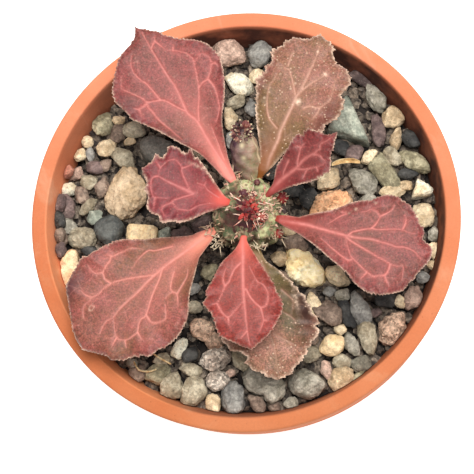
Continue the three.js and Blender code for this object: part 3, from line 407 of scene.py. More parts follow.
# Leaf tones: blade as main, deeper, margin and specks share; veins; stalks
BLADE_TONES = {
    "mauve": ((137, 62, 61), (97, 55, 43), (102, 43, 50), 0.16),
    "olive_rose": ((154, 98, 87), (106, 84, 50), (104, 52, 46), 0.8),
    "crimson": ((115, 38, 39), (97, 36, 32), (93, 31, 36), 0.1),
    "madder": ((136, 44, 39), (115, 45, 34), (115, 36, 35), 0.06),
    "brown_olive": ((176, 118, 102), (88, 76, 44), (60, 34, 28), 0.9),
    "rosewood": ((150, 76, 71), (112, 71, 49), (84, 42, 45), 0.12),
    "wine": ((116, 35, 44), (99, 36, 37), (89, 27, 37), 0.12),
}
VEIN_TONES = {
    "rose": (216, 129, 122), "pale_rose": (206, 156, 136), "dull_rose": (194, 112, 106),
    "dusty": (168, 128, 108), "salmon": (222, 141, 129), "rose_wine": (200, 114, 112),
}
STALK_TONES = {
    "coral": (238, 142, 128), "olive": (132, 76, 30), "brick": (152, 62, 58), "red": (158, 61, 53),
    "scarlet": (212, 96, 80), "poppy": (208, 78, 66), "tan_olive": (124, 102, 56),
    "salmon_stalk": (240, 148, 126),
}

# Large stones, each a piece: centre, length, width, turn, kind
LARGE_STONES = {
    "stone_tan_pumice": (-31.2, 8.7, 15, 11.2, 76, "pumice"),
    "stone_dark_slate": (-23.6, 20.2, 12.6, 7.6, -26, "slate"),
    "stone_blue_slate": (-35.8, -1.6, 9, 8, 100, "blue_slate"),
    "stone_peach": (-46, -11.5, 10.5, 5.6, 105, "peach"),
    "stone_cream_wedge": (-27.3, -2.4, 9, 4.8, -8, "butter"),
    "stone_pink_angular": (-4.8, 46.3, 10.4, 8.2, -32, "pink"),
    "stone_blue_round": (3.4, 46, 7.6, 7.2, 60, "blue"),
    "stone_cream_top": (-1.7, 38, 8, 6.4, -60, "white"),
    "stone_green_wedge": (27, 26.1, 15.2, 9.4, -66, "green"),
    "stone_lava": (22.1, 4.8, 12.6, 7, 17, "lava"),
    "stone_cream_pumice": (15.1, -12.2, 13, 9.2, -46, "bright_pumice"),
    "stone_grey_large": (15.4, -42, 9.6, 7.4, -12, "grey"),
    "stone_crumbly": (37.3, -28.2, 9.6, 7.4, 62, "crumb"),
    "stone_granular": (-8, -35.6, 9, 6.6, 18, "granular"),
    "stone_yellow_round": (21.8, -32.4, 6.6, 5.8, 0, "butter"),
    "stone_white_triangle": (45.9, 7.9, 6.2, 5.4, 40, "white"),
    "stone_long_green": (44, 15.3, 9.8, 5.2, -36, "olive"),
}

# Plan outlines of the stones with a shape of their own, round their centres, turning left
OUTLINES = {
    "stone_green_wedge": (
        (-6.1, -2.2), (1.7, -5.1), (5.8, -6.2), (4.1, -1.3), (2.1, 3), (-0.2, 8.2), (-2.6, 5.1),
    ),
    "stone_dark_slate": (
        (-4.9, 0), (-3.5, -2.7), (-1.2, -3.9), (2.5, -3.4), (5.7, -2.4), (8.2, -0.9), (7, 0.3), (1.4, 3.1),
        (-2.1, 4.3), (-4.7, 2.5),
    ),
    "stone_white_triangle": ((-3.2, -2.6), (2.2, -1.6), (2.6, 0.2), (-1.4, 3)),
    "stone_lava": (
        (-6.6, -3.3), (-3.3, -4.1), (-0.2, -3.4), (5.8, -0.3), (6, 1.6), (5.4, 3.1), (-1.7, 3.3), (-4.3, 2),
        (-5.8, -1),
    ),
    "stone_cream_pumice": (
        (-5.3, -1.3), (-2.8, -4.1), (1.2, -5.2), (4.4, -5.7), (5.3, -4.3), (5.1, -0.4), (2.3, 3.4), (-2.7, 6),
        (-4.6, 6), (-5.3, 1.1),
    ),
    "stone_cream_wedge": ((-4.6, -1.2), (-3.6, -2.4), (4.2, -2.2), (4.6, 0.4), (3.4, 2.2), (-3.6, 2.6)),
    "stone_peach": ((-2.8, 2.4), (-2.2, -4.6), (1.8, -5.4), (2.8, -3.6), (1.8, 4.8), (-0.8, 5.2)),
}

# Smaller stones of the mulch: centre, length, width, turn, kind
STONES = (
    (-38, 27.5, 6.6, 5.6, 70, "olive"), (-42.4, 22.9, 3.2, 3, 0, "cream"), (-37, 21, 5, 4.4, 10, "cream"),
    (-44, 19.3, 3.6, 3, 60, "cream"), (-41.5, 19.4, 4, 2.2, 95, "blue"), (-40, 15.8, 5, 3.4, -20, "purple"),
    (-37.3, 16.3, 4, 3, 30, "brown"), (-32.4, 18.2, 7, 4.4, -35, "beige"), (-34, 25.2, 5.4, 3.8, 80, "brown"),
    (-34, 28.6, 3.2, 2.6, 0, "tan"), (-30, 26.2, 6.6, 4.6, -15, "beige"), (-31, 22.8, 3, 2, 20, "tan"),
    (-45, 14, 4.2, 2.8, 35, "pink"), (-47, 10, 4.4, 3.4, 0, "white"), (-41.6, 11.8, 4.2, 3.8, 0, "beige"),
    (-43.6, 8.3, 5, 3.6, 110, "brown"), (-38, 10.4, 5.6, 3.8, 80, "brown"),
    (-41.8, 5.2, 5.4, 2.8, 55, "beige"), (-47.8, 5.2, 6.6, 5, 115, "purple"), (-40, 2.2, 4, 3.6, 0, "green"),
    (-47.3, 0, 5.2, 4, 0, "grey"), (-43, -3.2, 6.8, 5.2, -12, "beige"), (-48.5, -4, 4, 3.2, 90, "brown"),
    (-40.6, -7, 5, 3.2, -35, "dark"), (-21.4, -2.4, 3.6, 2.6, 20, "green"), (-29.4, -36.6, 3, 2.6, 0, "grey"),
    (-27.8, -39, 4.8, 4, 50, "brown"), (-22.6, -39.3, 6.6, 5, 20, "olive"), (-21.8, -35.4, 4, 3, 0, "beige"),
    (-19, -42.6, 7.4, 5.6, 70, "beige"), (-13.2, -43.7, 8, 6, 78, "beige"),
    (-14.2, -38.2, 5.6, 3.2, -18, "beige"), (-8.2, -31.6, 5.4, 4.2, 80, "crumb"),
    (-11.2, -28, 6, 5.4, 0, "crumb"), (-13.4, -22, 4, 3, 0, "beige"), (-14.5, -34.4, 4, 3.8, 0, "dark"),
    (-17.2, -32.6, 5.2, 3.2, 70, "white"), (-7.4, -41, 5.4, 4.8, 40, "granular"),
    (-4, -39.2, 2.4, 2, 0, "pink"), (-3.4, -45.6, 8.4, 5.8, 100, "blue"),
    (-8.5, -46.8, 4.4, 3.6, 80, "cream"), (-1.8, -35.2, 7, 3.8, -60, "beige"),
    (2.4, -41.4, 7.6, 5.4, -45, "grey"), (7, -43.4, 7, 5.6, 70, "grey"), (2.6, -46.9, 5.4, 3.2, -45, "brown"),
    (7, -48, 3, 2.6, 0, "brown"), (11.4, -47.1, 3.6, 3, 30, "grey"), (16.4, -34.4, 5, 4.4, 0, "beige"),
    (20.4, -39, 5, 2.9, 105, "pink"), (24.4, -36.6, 4.6, 3.6, 0, "beige"), (23.9, -40.8, 6.6, 5.4, 50, "tan"),
    (26.6, -32.2, 6.6, 3.6, -70, "grey"), (29.4, -37.4, 5, 4, 20, "grey"),
    (31.1, -30.6, 8, 4.3, -75, "beige"), (29, -23.4, 9.2, 4.6, -68, "blue"), (25.6, -24, 8, 3, -75, "dark"),
    (21.4, -24.2, 7, 5.6, -50, "brown"), (24, -28.4, 3.2, 2.6, 0, "cream"), (17, -21.6, 5, 3.8, -50, "cream"),
    (23.6, -14.6, 6.6, 4.4, -35, "cream"), (21.4, -18.4, 3.2, 2.6, 0, "blue"),
    (24.6, -19.4, 3.6, 3, 0, "grey"), (46, 1, 6, 4.8, 100, "cream"), (48.4, -4, 3.6, 3, 90, "grey"),
    (48.4, -8.4, 4.2, 2.8, 100, "cream"), (47.8, -12.2, 3.2, 2.6, 0, "tan"), (45.4, -15.2, 3.4, 3, 0, "blue"),
    (42.8, -20.6, 6, 4.6, 70, "pink"), (35.8, -21.2, 5, 3.4, 10, "dark"),
    (39.4, -21.4, 3.2, 2.6, 90, "cream"), (33, -24.2, 3.2, 2.2, 0, "purple"),
    (28.4, -41, 4, 2.8, 30, "olive"), (31.2, 38.8, 6.4, 4.6, -40, "purple"), (34.3, 33, 8, 4.4, -62, "grey"),
    (38.9, 27.6, 6.4, 5.4, 60, "tan"), (34.7, 24, 8, 3.6, 100, "purple"), (39.2, 21.6, 6, 2.8, 75, "tan"),
    (43.5, 21.6, 5.4, 4.4, -50, "dark"), (38, 16.5, 5.4, 4.2, -50, "beige"), (42.2, 12, 5, 2.8, -10, "dark"),
    (36.8, 11.6, 11.6, 4.8, -54, "olive"), (30.5, 10.4, 8.2, 6, -52, "grey"),
    (28.4, 18, 5, 4.4, 20, "purple"), (32.2, 17, 4.6, 3, 40, "cream"), (25, 19.6, 4.4, 4, 0, "dark"),
    (21.3, 11.2, 6.2, 5, 20, "cream"), (38, 7.4, 6.4, 3.8, 10, "cream"), (41.4, 9, 3.2, 2.4, 0, "tan"),
    (16.2, 6.4, 5, 4.4, 50, "dark"), (3.2, 39.8, 4.4, 3.8, 30, "cream"), (-2.6, 32.8, 5, 3.2, 20, "beige"),
    (-4, 28.4, 6, 3.4, 100, "cream"), (1.4, 31.2, 5, 3.2, 95, "blue"), (-4, 22.4, 4.6, 2.6, 80, "blue"),
    (11.2, -2.2, 4.4, 3, 10, "cream"), (8.6, -9.6, 4.6, 3.6, -20, "tan"),
    (-9.6, -12.6, 4.4, 3.4, 60, "olive"), (-14, -17, 4.2, 3.4, 0, "blue"), (12.4, 8.6, 5, 4, 0, "dark"),
    (-12.6, 14.4, 5, 4, 30, "beige"),
)

# Kinds of stone: two tones, pits, grains, crispness of the corners, roughness
KINDS = {
    "cream": ((249, 230, 194), (216, 190, 152), 0.3, 0.3, 7, 0.85),
    "beige": ((196, 186, 162), (150, 138, 115), 0.3, 0.4, 7, 0.8),
    "tan": ((224, 200, 164), (180, 154, 120), 0.3, 0.4, 7, 0.85),
    "brown": ((160, 140, 124), (120, 102, 90), 0.3, 0.5, 7, 0.8),
    "pink": ((208, 178, 160), (178, 148, 132), 0.35, 0.5, 9, 0.85),
    "grey": ((182, 176, 161), (134, 129, 114), 0.3, 0.5, 7, 0.75),
    "blue": ((166, 164, 157), (126, 124, 120), 0.2, 0.4, 6, 0.6),
    "green": ((194, 197, 180), (148, 155, 141), 0.15, 0.35, 10, 0.7),
    "dark": ((84, 83, 80), (54, 54, 54), 0.1, 0.3, 8, 0.6),
    "purple": ((132, 113, 108), (96, 80, 78), 0.25, 0.35, 8, 0.75),
    "white": ((246, 242, 220), (224, 206, 172), 0.35, 0.4, 8, 0.85),
    "olive": ((186, 178, 148), (136, 128, 102), 0.3, 0.45, 7, 0.85),
    "brick": ((202, 142, 120), (166, 108, 90), 0.3, 0.4, 7, 0.85),
    "crumb": ((226, 194, 168), (172, 134, 110), 0.6, 0.9, 6, 0.95),
    "granular": ((236, 224, 208), (190, 172, 156), 0.5, 1.0, 6, 0.95),
    "pumice": ((230, 205, 172), (204, 176, 140), 0.15, 0.12, 6, 0.95),
    "bright_pumice": ((255, 248, 212), (255, 228, 172), 0.2, 0.15, 8, 0.95),
    "lava": ((255, 222, 184), (234, 176, 132), 0.8, 0.4, 8, 0.95),
    "peach": ((246, 226, 186), (240, 194, 150), 0.2, 0.3, 9, 0.85),
    "butter": ((243, 219, 178), (224, 192, 144), 0.2, 0.25, 10, 0.85),
    "slate": ((124, 120, 112), (90, 90, 86), 0.05, 0.25, 9, 0.55),
    "blue_slate": ((100, 102, 98), (70, 73, 72), 0.1, 0.25, 7, 0.6),
}
POROUS = ("pumice", "bright_pumice", "lava", "crumb", "granular")
# Painted light: shade levels raised on these kinds, standing in for light that the leaves above keep off
# them.
PAINTED_LIGHT_LEVEL = {"bright_pumice": 1.45, "lava": 1.1}
STONE_SLOTS = {
    "pumice": "pumice", "bright_pumice": "pumice", "peach": "pumice", "butter": "pumice", "white": "pumice",
    "slate": "slate", "blue_slate": "slate", "lava": "lava",
}

# Pebbles lodged a little higher against the wall on the left: centre, length, width, turn, kind
EDGE_LIFT = 2.4
EDGE_STONES = (
    (-48.8, 6, 4.6, 3.2, 84, "purple"), (-48.9, 1.4, 5, 3.3, 92, "dark"), (-48.8, -3, 4.2, 3.2, 88, "brown"),
    (-48.4, -6.8, 3.8, 3, 100, "purple"), (-46.8, 14.2, 3.4, 2.4, 62, "brick"),
)

# Middle of the crown, and rings of young leaves: how many, lean from upright, length, width, distance out
HEART = (2.4, -2.0, 108.9)
CROWN_RINGS = (
    (3, 12, 1.5, 1.3, 0.3), (5, 34, 1.7, 1.5, 0.85), (7, 56, 1.7, 1.4, 1.4), (8, 76, 1.3, 1.2, 1.9),
)
SHOOT_RINGS = (
    (5, 10, 1.7, 1.3, 0.5), (8, 28, 1.7, 1.3, 1.1), (11, 50, 1.6, 1.2, 1.7), (12, 80, 1.3, 1.1, 2),
)

# Buds on the stem: place and radius
BUDS = {
    "bud_purple": (1.1, 2.6, 108.0, 1.2),
    "bud_spined": (5.6, -3.3, 107.3, 1.25),
    "bud_red": (10.4, 2.6, 102.8, 1.5),
    "bud_low": (9.2, -5.9, 100.6, 1.3),
}
SMALL_BUDS = {"bud_ring": (3.4, 2.15, 107.8, 0.6), "bud_side": (4.3, 6.1, 105.3, 0.8)}

# Pale ridge on the stem's right shoulder seen from above, level where the crown's shadow ends, lit side
RIDGE = ((8.8, -2.6), (4.7, -7.6))
RIDGE_WIDTH = 0.7
SHADOW_FOOT = 103
BRIGHT_SIDE = 42

# Claws and scales: how many, level in the middle and fall outward, stout ones as root, tip and thickness
CLAWS = 22
CLAW_LEVEL = (109.0, 0.22)
SCALES = 60
SCALE_LEVEL = (109.1, 0.27)
STOUT_CLAWS = (
    (0.7, -0.5, -1.4, -1.6, 0.3), (0.5, -3, -1.5, -2.6, 0.28), (0.8, -3.9, -1.1, -5.9, 0.3),
    (1.7, -4, 2.3, -6.1, 0.28), (0.7, 0.4, -2.4, 2.2, 0.24), (1, 3.6, 0.3, 4.9, 0.2),
    (4, -2.7, 7.2, -1.2, 0.28), (4.7, 0.1, 6.7, -0.5, 0.26), (6.3, 0.2, 8.8, -0.6, 0.3),
    (3.4, 3.2, 3.7, 5, 0.16), (2.6, 2.9, 2.2, 4.6, 0.16), (5.2, 1.2, 6.2, 2.7, 0.22),
    (4.4, -3.6, 5, -6.2, 0.2), (3.4, -4.1, 4.6, -6.9, 0.16),
)

# Bristles on the stem's sides: middle and how many
BRISTLES = (
    (-6.4, -7.6, 99.5, 20), (-7.8, -4.6, 101, 10), (-1.4, 8.4, 102.6, 9), (8.6, -6.4, 101.4, 12),
    (4.6, -8.6, 101, 14), (9.4, 1.6, 103.2, 8),
)

# Dry scraps: a curled flake of old leaf as place, length, width and turn, and two twigs
FLAKE = (26.2, 15, 90.4, 7.4, 1.3, 4)
FLAKE_THICKNESS = 0.18
TWIG_RADIUS = 0.24
TWIGS = (
    ((-24, -34, 89.4), (-21.6, -35.6, 90), (-19, -37, 89.6)),
    ((-28.6, -36.2, 89.2), (-27.2, -38.4, 89.6), (-24.6, -38.8, 89.6), (-22.8, -38.2, 89.3)),
)

# View and light: where the camera stands and looks, its lens for a 36 mm sensor, the key lamp, half the floor
CAMERA_PLACE = (31.81, -86.89, 464.66)
CAMERA_TARGET = (-1.67, -5.45, 95.0)
CAMERA_LENS = 113.53
KEY_PLACE = (0.12, 0.14, 0.95)
KEY_AIM = (0, 0, 0.09)
KEY_SIZE = 0.5
KEY_COLOUR = (1.0, 0.97, 0.93)
FLOOR_REACH = 3.0


def make_draw(seed):
    """Seeded draw that gives the same run of numbers each time."""
    state = [seed]

    def draw(low, high):
        state[0] = (state[0] * 16807) % 2147483647
        return low + (high - low) * (state[0] / 2147483647)

    return draw


def tone(rgb):
    """A colour given from 0 to 255 as a screen shows it, as linear light with alpha."""
    shares = [value / 255 for value in rgb]
    linear = [share / 12.92 if share <= 0.04045 else ((share + 0.055) / 1.055) ** 2.4 for share in shares]
    return (*linear, 1.0)


def value_at(pairs, key):
    return np.interp(key, [pair[0] for pair in pairs], [pair[1] for pair in pairs])


def wall_radius(height):
    """Inner radius of the pot at a height."""
    shoulder = POT_HEIGHT - LIP_DEPTH
    shoulder_radius = MOUTH_RADIUS - LIP_FLARE
    floor_radius = FOOT_RADIUS - WALL_THICKNESS
    levels = [FLOOR_THICKNESS, shoulder, POT_HEIGHT]
    return np.interp(height, levels, [floor_radius, shoulder_radius, MOUTH_RADIUS])


def settings():
    return bpy.context.scene.plant


# Pieces

def add_object(name, data):
    item = bpy.data.objects.new(name, data)
    bpy.context.scene.collection.objects.link(item)
    return item


def make_mesh_piece(name, points, faces, material, slot, nodes=(), masks=None):
    """A piece from points in millimetres, which may stand for CAD nodes, with masks as one value or many."""
    mesh = bpy.data.meshes.new(name)
    mesh.from_pydata((np.asarray(points, float) * MM).tolist(), [], faces)
    for key, values in (masks or {}).items():
        attribute = mesh.attributes.new(key, "FLOAT", "POINT")
        attribute.data.foreach_set("value", np.full(len(points), values, np.float32))
    mesh.materials.append(material)
    mesh.shade_smooth()
    mesh.validate()
    declare(add_object(name, mesh), slot, nodes)


def declare(piece, slot, nodes=()):
    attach(piece, "root")
    if nodes:
        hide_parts(*nodes)


def band(low, high, sides):
    """Quads between two rings, given by the numbers of their first points."""
    pairs = [(side, (side + 1) % sides) for side in range(sides)]
    return [(low + side, low + after, high + after, high + side) for side, after in pairs]


def lathe_faces(rings, sides):
    """Quads of a closed turned body whose last ring meets its first."""
    return [face for ring in range(rings) for face in band(ring * sides, (ring + 1) % rings * sides, sides)]


def tube_faces(rings, sides, start, end):
    """Faces of a closed body through rings, with a fan to a middle point at each end."""
    faces = [face for ring in range(rings - 1) for face in band(ring * sides, (ring + 1) * sides, sides)]
    top = (rings - 1) * sides
    for side in range(sides):
        after = (side + 1) % sides
        faces.append((start, after, side))
        faces.append((end, top + side, top + after))
    return faces


def sheet_rows(rows, wide):
    """Quads of an open sheet whose points run row by row."""
    corners = [row * wide + column for row in range(rows - 1) for column in range(wide - 1)]
    return [(corner, corner + wide, corner + wide + 1, corner + 1) for corner in corners]


def closed_sheet(upper, loop, count):
    """Faces of a thin closed sheet: its upper side, its under side and the edge between them."""
    faces = upper + [tuple(corner + count for corner in reversed(face)) for face in upper]
    for index, start in enumerate(loop):
        end = loop[(index + 1) % len(loop)]
        faces.append((start, start + count, end + count, end))
    return faces


def tube(path, radii, sides):
    """Points and faces of a closed tube round a path, with a radius for each of its points."""
    last = len(path) - 1
    points = []
    for index, (centre, radius) in enumerate(zip(path, radii)):
        ahead = np.subtract(path[min(index + 1, last)], path[max(index - 1, 0)])
        _, across, rise = ring_frame(ahead)
        points += [np.array(centre) + radius * (across * math.cos(turn) + rise * math.sin(turn))
                   for turn in np.linspace(0, 2 * math.pi, sides, endpoint=False)]
    points += [np.array(path[0]), np.array(path[-1])]
    count = len(points)
    return np.array(points), tube_faces(len(path), sides, count - 2, count - 1)


def ring_frame(direction):
    """Three unit directions: along, across and square to both."""
    axis = np.array(direction, float)
    axis /= np.linalg.norm(axis)
    reference = np.array([1.0, 0, 0]) if abs(axis[2]) > 0.9 else np.array([0, 0, 1.0])
    across = np.cross(reference, axis)
    across /= np.linalg.norm(across)
    return axis, across, np.cross(axis, across)


def smooth_path(points, spacing):
    """Points at even steps on a smooth curve through the given ones."""
    knots = np.asarray(points, float)
    count = len(knots) - 1
    key = np.linspace(0, count, 40 * count + 1)
    index = np.minimum(key.astype(int), count - 1)
    share = (key - index)[:, None]
    before = knots[np.maximum(index - 1, 0)]
    start = knots[index]
    end = knots[index + 1]
    after = knots[np.minimum(index + 2, count)]
    leave = (end - before) * 0.5
    arrive = (after - start) * 0.5
    curve = ((2 * start - 2 * end + leave + arrive) * share ** 3
             + (3 * end - 3 * start - 2 * leave - arrive) * share ** 2 + leave * share + start)
    reach = np.concatenate([[0], np.cumsum(np.linalg.norm(np.diff(curve, axis=0), axis=1))])
    steps = spacing if isinstance(spacing, int) else max(2, int(round(reach[-1] / spacing)))
    even = np.linspace(0, reach[-1], steps + 1)
    return np.stack([np.interp(even, reach, curve[:, axis]) for axis in range(curve.shape[1])], 1)


def ball(subdivisions):
    """Directions and faces of an even ball."""
    shape = bmesh.new()
    bmesh.ops.create_icosphere(shape, subdivisions=subdivisions, radius=1)
    directions = np.array([vertex.co[:] for vertex in shape.verts])
    faces = [tuple(vertex.index for vertex in face.verts) for face in shape.faces]
    shape.free()
    return directions / np.linalg.norm(directions, axis=1)[:, None], faces


def noise_field(points, scale, seed, detail=2):
    """Smooth noise, about -1 to 1, at each point."""
    shift = Vector((seed * 1.7, seed * 0.9, seed * 2.3))
    return np.array([
        noise.fractal(Vector(point) * scale + shift, 0.6, 2.1, detail) for point in points.tolist()
    ])


# Shader nodes

def add_node(tree, kind, options=None, **inputs):
    """A node with its options set, and each named input either linked or given a value."""
    node = tree.nodes.new(kind)
    for key, value in (options or {}).items():
        setattr(node, key, value)
    for key, value in inputs.items():
        feed(tree, node.inputs[key.replace("_", " ")], value)
    return node


def feed(tree, socket, value):
    if isinstance(value, bpy.types.NodeSocket):
        tree.links.new(value, socket)
    else:
        socket.default_value = value


def tree_of(*values):
    """The node tree that the first socket among the values belongs to."""
    return next(value.id_data for value in values if isinstance(value, bpy.types.NodeSocket))


def blend_colour(factor, first, second, way="MIX"):
    tree = tree_of(factor, first, second)
    node = add_node(tree, "ShaderNodeMix", {"data_type": "RGBA", "blend_type": way})
    for index, value in ((0, factor), (6, first), (7, second)):
        feed(tree, node.inputs[index], value)
    return node.outputs[2]


def tinted(first, second):
    return blend_colour(1.0, first, second, "MULTIPLY")


def maths(operation, first, second=0.0, clamp=False):
    tree = tree_of(first, second)
    node = add_node(tree, "ShaderNodeMath", {"operation": operation, "use_clamp": clamp})
    feed(tree, node.inputs[0], first)
    feed(tree, node.inputs[1], second)
    return node.outputs[0]


def times(first, second, clamp=False):
    return maths("MULTIPLY", first, second, clamp)


def plus(first, second, clamp=False):
    return maths("ADD", first, second, clamp)


def spread(value, low, high, to_low=0.0, to_high=1.0):
    """Value from one range to another, held at the ends."""
    node = add_node(tree_of(value), "ShaderNodeMapRange", Value=value, From_Min=low, From_Max=high,
                    To_Min=to_low, To_Max=to_high)
    return node.outputs[0]


def grain(place, scale, detail=3.0, roughness=0.6, distortion=0.0):
    node = add_node(tree_of(place), "ShaderNodeTexNoise", Vector=place, Scale=scale, Detail=detail,
                    Roughness=roughness, Distortion=distortion)
    return node.outputs[0]


def cells(place, scale, feature="F1"):
    node = add_node(tree_of(place), "ShaderNodeTexVoronoi", {"feature": feature}, Vector=place, Scale=scale)
    return node.outputs["Distance"]


def cell_greys(place, scale):
    """A value of its own for each cell."""
    node = add_node(tree_of(place), "ShaderNodeTexVoronoi", Vector=place, Scale=scale)
    return add_node(tree_of(place), "ShaderNodeSeparateColor", Color=node.outputs["Color"]).outputs[0]


def join_grey(value):
    """A grey colour from one value."""
    node = add_node(tree_of(value), "ShaderNodeCombineColor")
    for socket in node.inputs[:3]:
        feed(tree_of(value), socket, value)
    return node.outputs[0]


def object_place(tree):
    return add_node(tree, "ShaderNodeTexCoord").outputs["Object"]


COLOUR = "NodeSocketColor"
NUMBER = "NodeSocketFloat"
SURFACE = {"Colour": COLOUR, "Roughness": NUMBER, "Height": NUMBER}
LEAF_MASKS = ("vein", "glow", "rim", "haze", "across", "inner", "outer")
SKIN_MASKS = ("swell", "dusk", "scar", "halo")
GRAIN_SCALE = 1500.0


def new_group(name, tones, numbers):
    """An empty shader node group with a place, tones and numbers as inputs and a surface as outputs."""
    tree = bpy.data.node_groups.new(name, "ShaderNodeTree")
    tree.interface.new_socket("Place", in_out="INPUT", socket_type="NodeSocketVector")
    for kind, labels in ((COLOUR, tones), (NUMBER, numbers)):
        for label in labels:
            tree.interface.new_socket(label, in_out="INPUT", socket_type=kind)
    for label, kind in SURFACE.items():
        tree.interface.new_socket(label, in_out="OUTPUT", socket_type=kind)
    return tree, tree.nodes.new("NodeGroupInput").outputs, tree.nodes.new("NodeGroupOutput").inputs


def make_mineral_surface(name):
    """Stone and clay: two tones in soft patches, grain of two sizes, pale flecks and pits darkened with
    painted shade.
    """
    numbers = ("Shade", "Patch Scale", "Grain Scale", "Pits", "Pit Scale", "Roughness", "Grains")
    tree, given, result = new_group(name, ("Main Tone", "Second Tone"), numbers)
    place = given["Place"]
    patches = spread(grain(place, given["Patch Scale"], 4, 0.6, 0.8), 0.4, 0.6)
    base = blend_colour(patches, given["Main Tone"], given["Second Tone"])
    coarse = spread(grain(place, times(given["Grain Scale"], 0.35), 4, 0.65), 0.32, 0.68)
    fine = spread(grain(place, given["Grain Scale"], 4, 0.8), 0.32, 0.68)
    level = spread(given["Shade"], -1.0, 2.0, 0.3, 1.65)
    level = times(level, spread(coarse, 0.0, 1.0, 0.75, 1.23))
    level = times(level, spread(fine, 0.0, 1.0, 0.76, 1.23))
    grains = cell_greys(place, times(given["Grain Scale"], 1.2))
    grains = times(spread(grains, 0.0, 1.0, -0.55, 0.5), given["Grains"])
    level = times(level, plus(grains, 1.0))
    shaded = tinted(base, join_grey(level))
    flecks = spread(cells(place, given["Grain Scale"]), 0.1, 0.22, 0.3, 0.0)
    flecks = times(flecks, spread(grain(place, 260.0, 2), 0.5, 0.62))
    shaded = blend_colour(flecks, shaded, tone((236, 228, 208)))
    holes = cells(place, given["Pit Scale"])
    hollow = spread(holes, 0.12, 0.34, 1.0, 0.0)
    gate = spread(grain(place, times(given["Pit Scale"], 0.4), 2), 0.5, 0.6)
    hollow = times(times(hollow, gate), given["Pits"])
    # Painted shade: the pits are darkened towards a deep brown.
    pitted = blend_colour(times(hollow, 0.75), shaded, tone((52, 42, 34)))
    tree.links.new(pitted, result["Colour"])
    rough = plus(given["Roughness"], spread(fine, 0.0, 1.0, -0.08, 0.08), clamp=True)
    tree.links.new(rough, result["Roughness"])
    height = maths("SUBTRACT", times(fine, 0.35), hollow)
    height = plus(height, plus(coarse, grains))
    tree.links.new(height, result["Height"])
    return tree


def leaf_blade(place, given, fine):
    """Colour of a blade without its veins: clouds, speckle, a deeper margin, painted light along the veins
    and warmth from the stalk.
    """
    cloud = spread(grain(place, 140.0, 3, 0.6), 0.38, 0.62)
    inner = plus(times(cloud, 0.45), times(spread(fine, 0.4, 0.6), 0.45))
    inner = plus(inner, given["Inner"], clamp=True)
    blade = blend_colour(inner, given["Blade Tone"], given["Inner Tone"])
    blade = tinted(blade, join_grey(spread(grain(place, 2300.0, 3, 0.85), 0.34, 0.66, 0.52, 1.56)))
    blade = tinted(blade, join_grey(spread(grain(place, 800.0, 4, 0.75), 0.34, 0.66, 0.78, 1.25)))
    outer = spread(given["Across"], 0.8, 1.0, 0.0, 0.7)
    outer = times(outer, spread(grain(place, 260.0, 2), 0.35, 0.6, 0.2, 0.6))
    outer = maths("MAXIMUM", outer, given["Outer"])
    blade = blend_colour(outer, blade, given["Margin Tone"])
    # Painted light: the blade pales towards the vein tone along the veins, for the light on its quilted
    # relief.
    blade = blend_colour(times(given["Haze"], 0.24), blade, given["Vein Tone"])
    return blend_colour(given["Glow"], blade, given["Stalk Tone"])


def leaf_lines(place, vein):
    """Veins, with a fine wavering net between them, broken in places."""
    tree = tree_of(place)
    drift = add_node(tree, "ShaderNodeTexNoise", Vector=place, Scale=220.0).outputs["Color"]
    sway = add_node(tree, "ShaderNodeVectorMath", {"operation": "SCALE"}, Vector=drift, Scale=0.0022)
    shifted = add_node(tree, "ShaderNodeVectorMath", {"operation": "ADD"}, Vector=place)
    tree.links.new(sway.outputs[0], shifted.inputs[1])
    net = spread(cells(shifted.outputs[0], 260.0, "DISTANCE_TO_EDGE"), 0.0, 0.07, 0.22, 0.0)
    net = times(net, spread(grain(place, 180.0, 2), 0.42, 0.62))
    lines = maths("MAXIMUM", vein, net)
    return times(lines, spread(grain(place, 900.0, 3), 0.3, 0.6, 0.6, 1.0))


def leaf_dots(place, specks):
    """Chalky specks of two sizes, gathered in loose groups."""
    small = spread(cells(place, 950.0), 0.11, 0.25, 0.9, 0.0)
    small = times(small, spread(grain(place, 330.0, 2), 0.42, 0.53))
    large = spread(cells(place, 360.0), 0.08, 0.16, 1.0, 0.0)
    large = times(large, spread(grain(place, 210.0, 2), 0.49, 0.56))
    return times(maths("MAXIMUM", small, times(large, 0.6)), specks)


def make_leaf_skin(name):
    """Fleshy leaf: stalk, blade, veins, pale rim and chalky specks, from masks on the mesh."""
    tones = [part + " Tone" for part in ("Blade", "Inner", "Margin", "Vein", "Stalk", "Rim", "Speck")]
    numbers = ("Vein", "Glow", "Rim", "Across", "Specks", "Haze", "Inner", "Outer")
    tree, given, result = new_group(name, tones, numbers)
    place = given["Place"]
    fine = grain(place, 1900.0, 4, 0.8)
    blade = leaf_blade(place, given, fine)
    veined = blend_colour(leaf_lines(place, given["Vein"]), blade, given["Vein Tone"])
    dots = leaf_dots(place, given["Specks"])
    specked = blend_colour(dots, veined, given["Speck Tone"])
    beads = times(spread(grain(place, 1300.0, 1), 0.42, 0.54, 0.4, 1.0),
                  spread(grain(place, 200.0, 2), 0.36, 0.56, 0.5, 1.0))
    rim = times(given["Rim"], beads)
    edged = blend_colour(rim, specked, given["Rim Tone"])
    tree.links.new(edged, result["Colour"])
    rough = spread(fine, 0.3, 0.7, 0.42, 0.58)
    tree.links.new(rough, result["Roughness"])
    height = plus(times(fine, 0.35), times(dots, 0.6))
    height = maths("SUBTRACT", height, plus(given["Vein"], given["Haze"]))
    tree.links.new(height, result["Height"])
    return tree


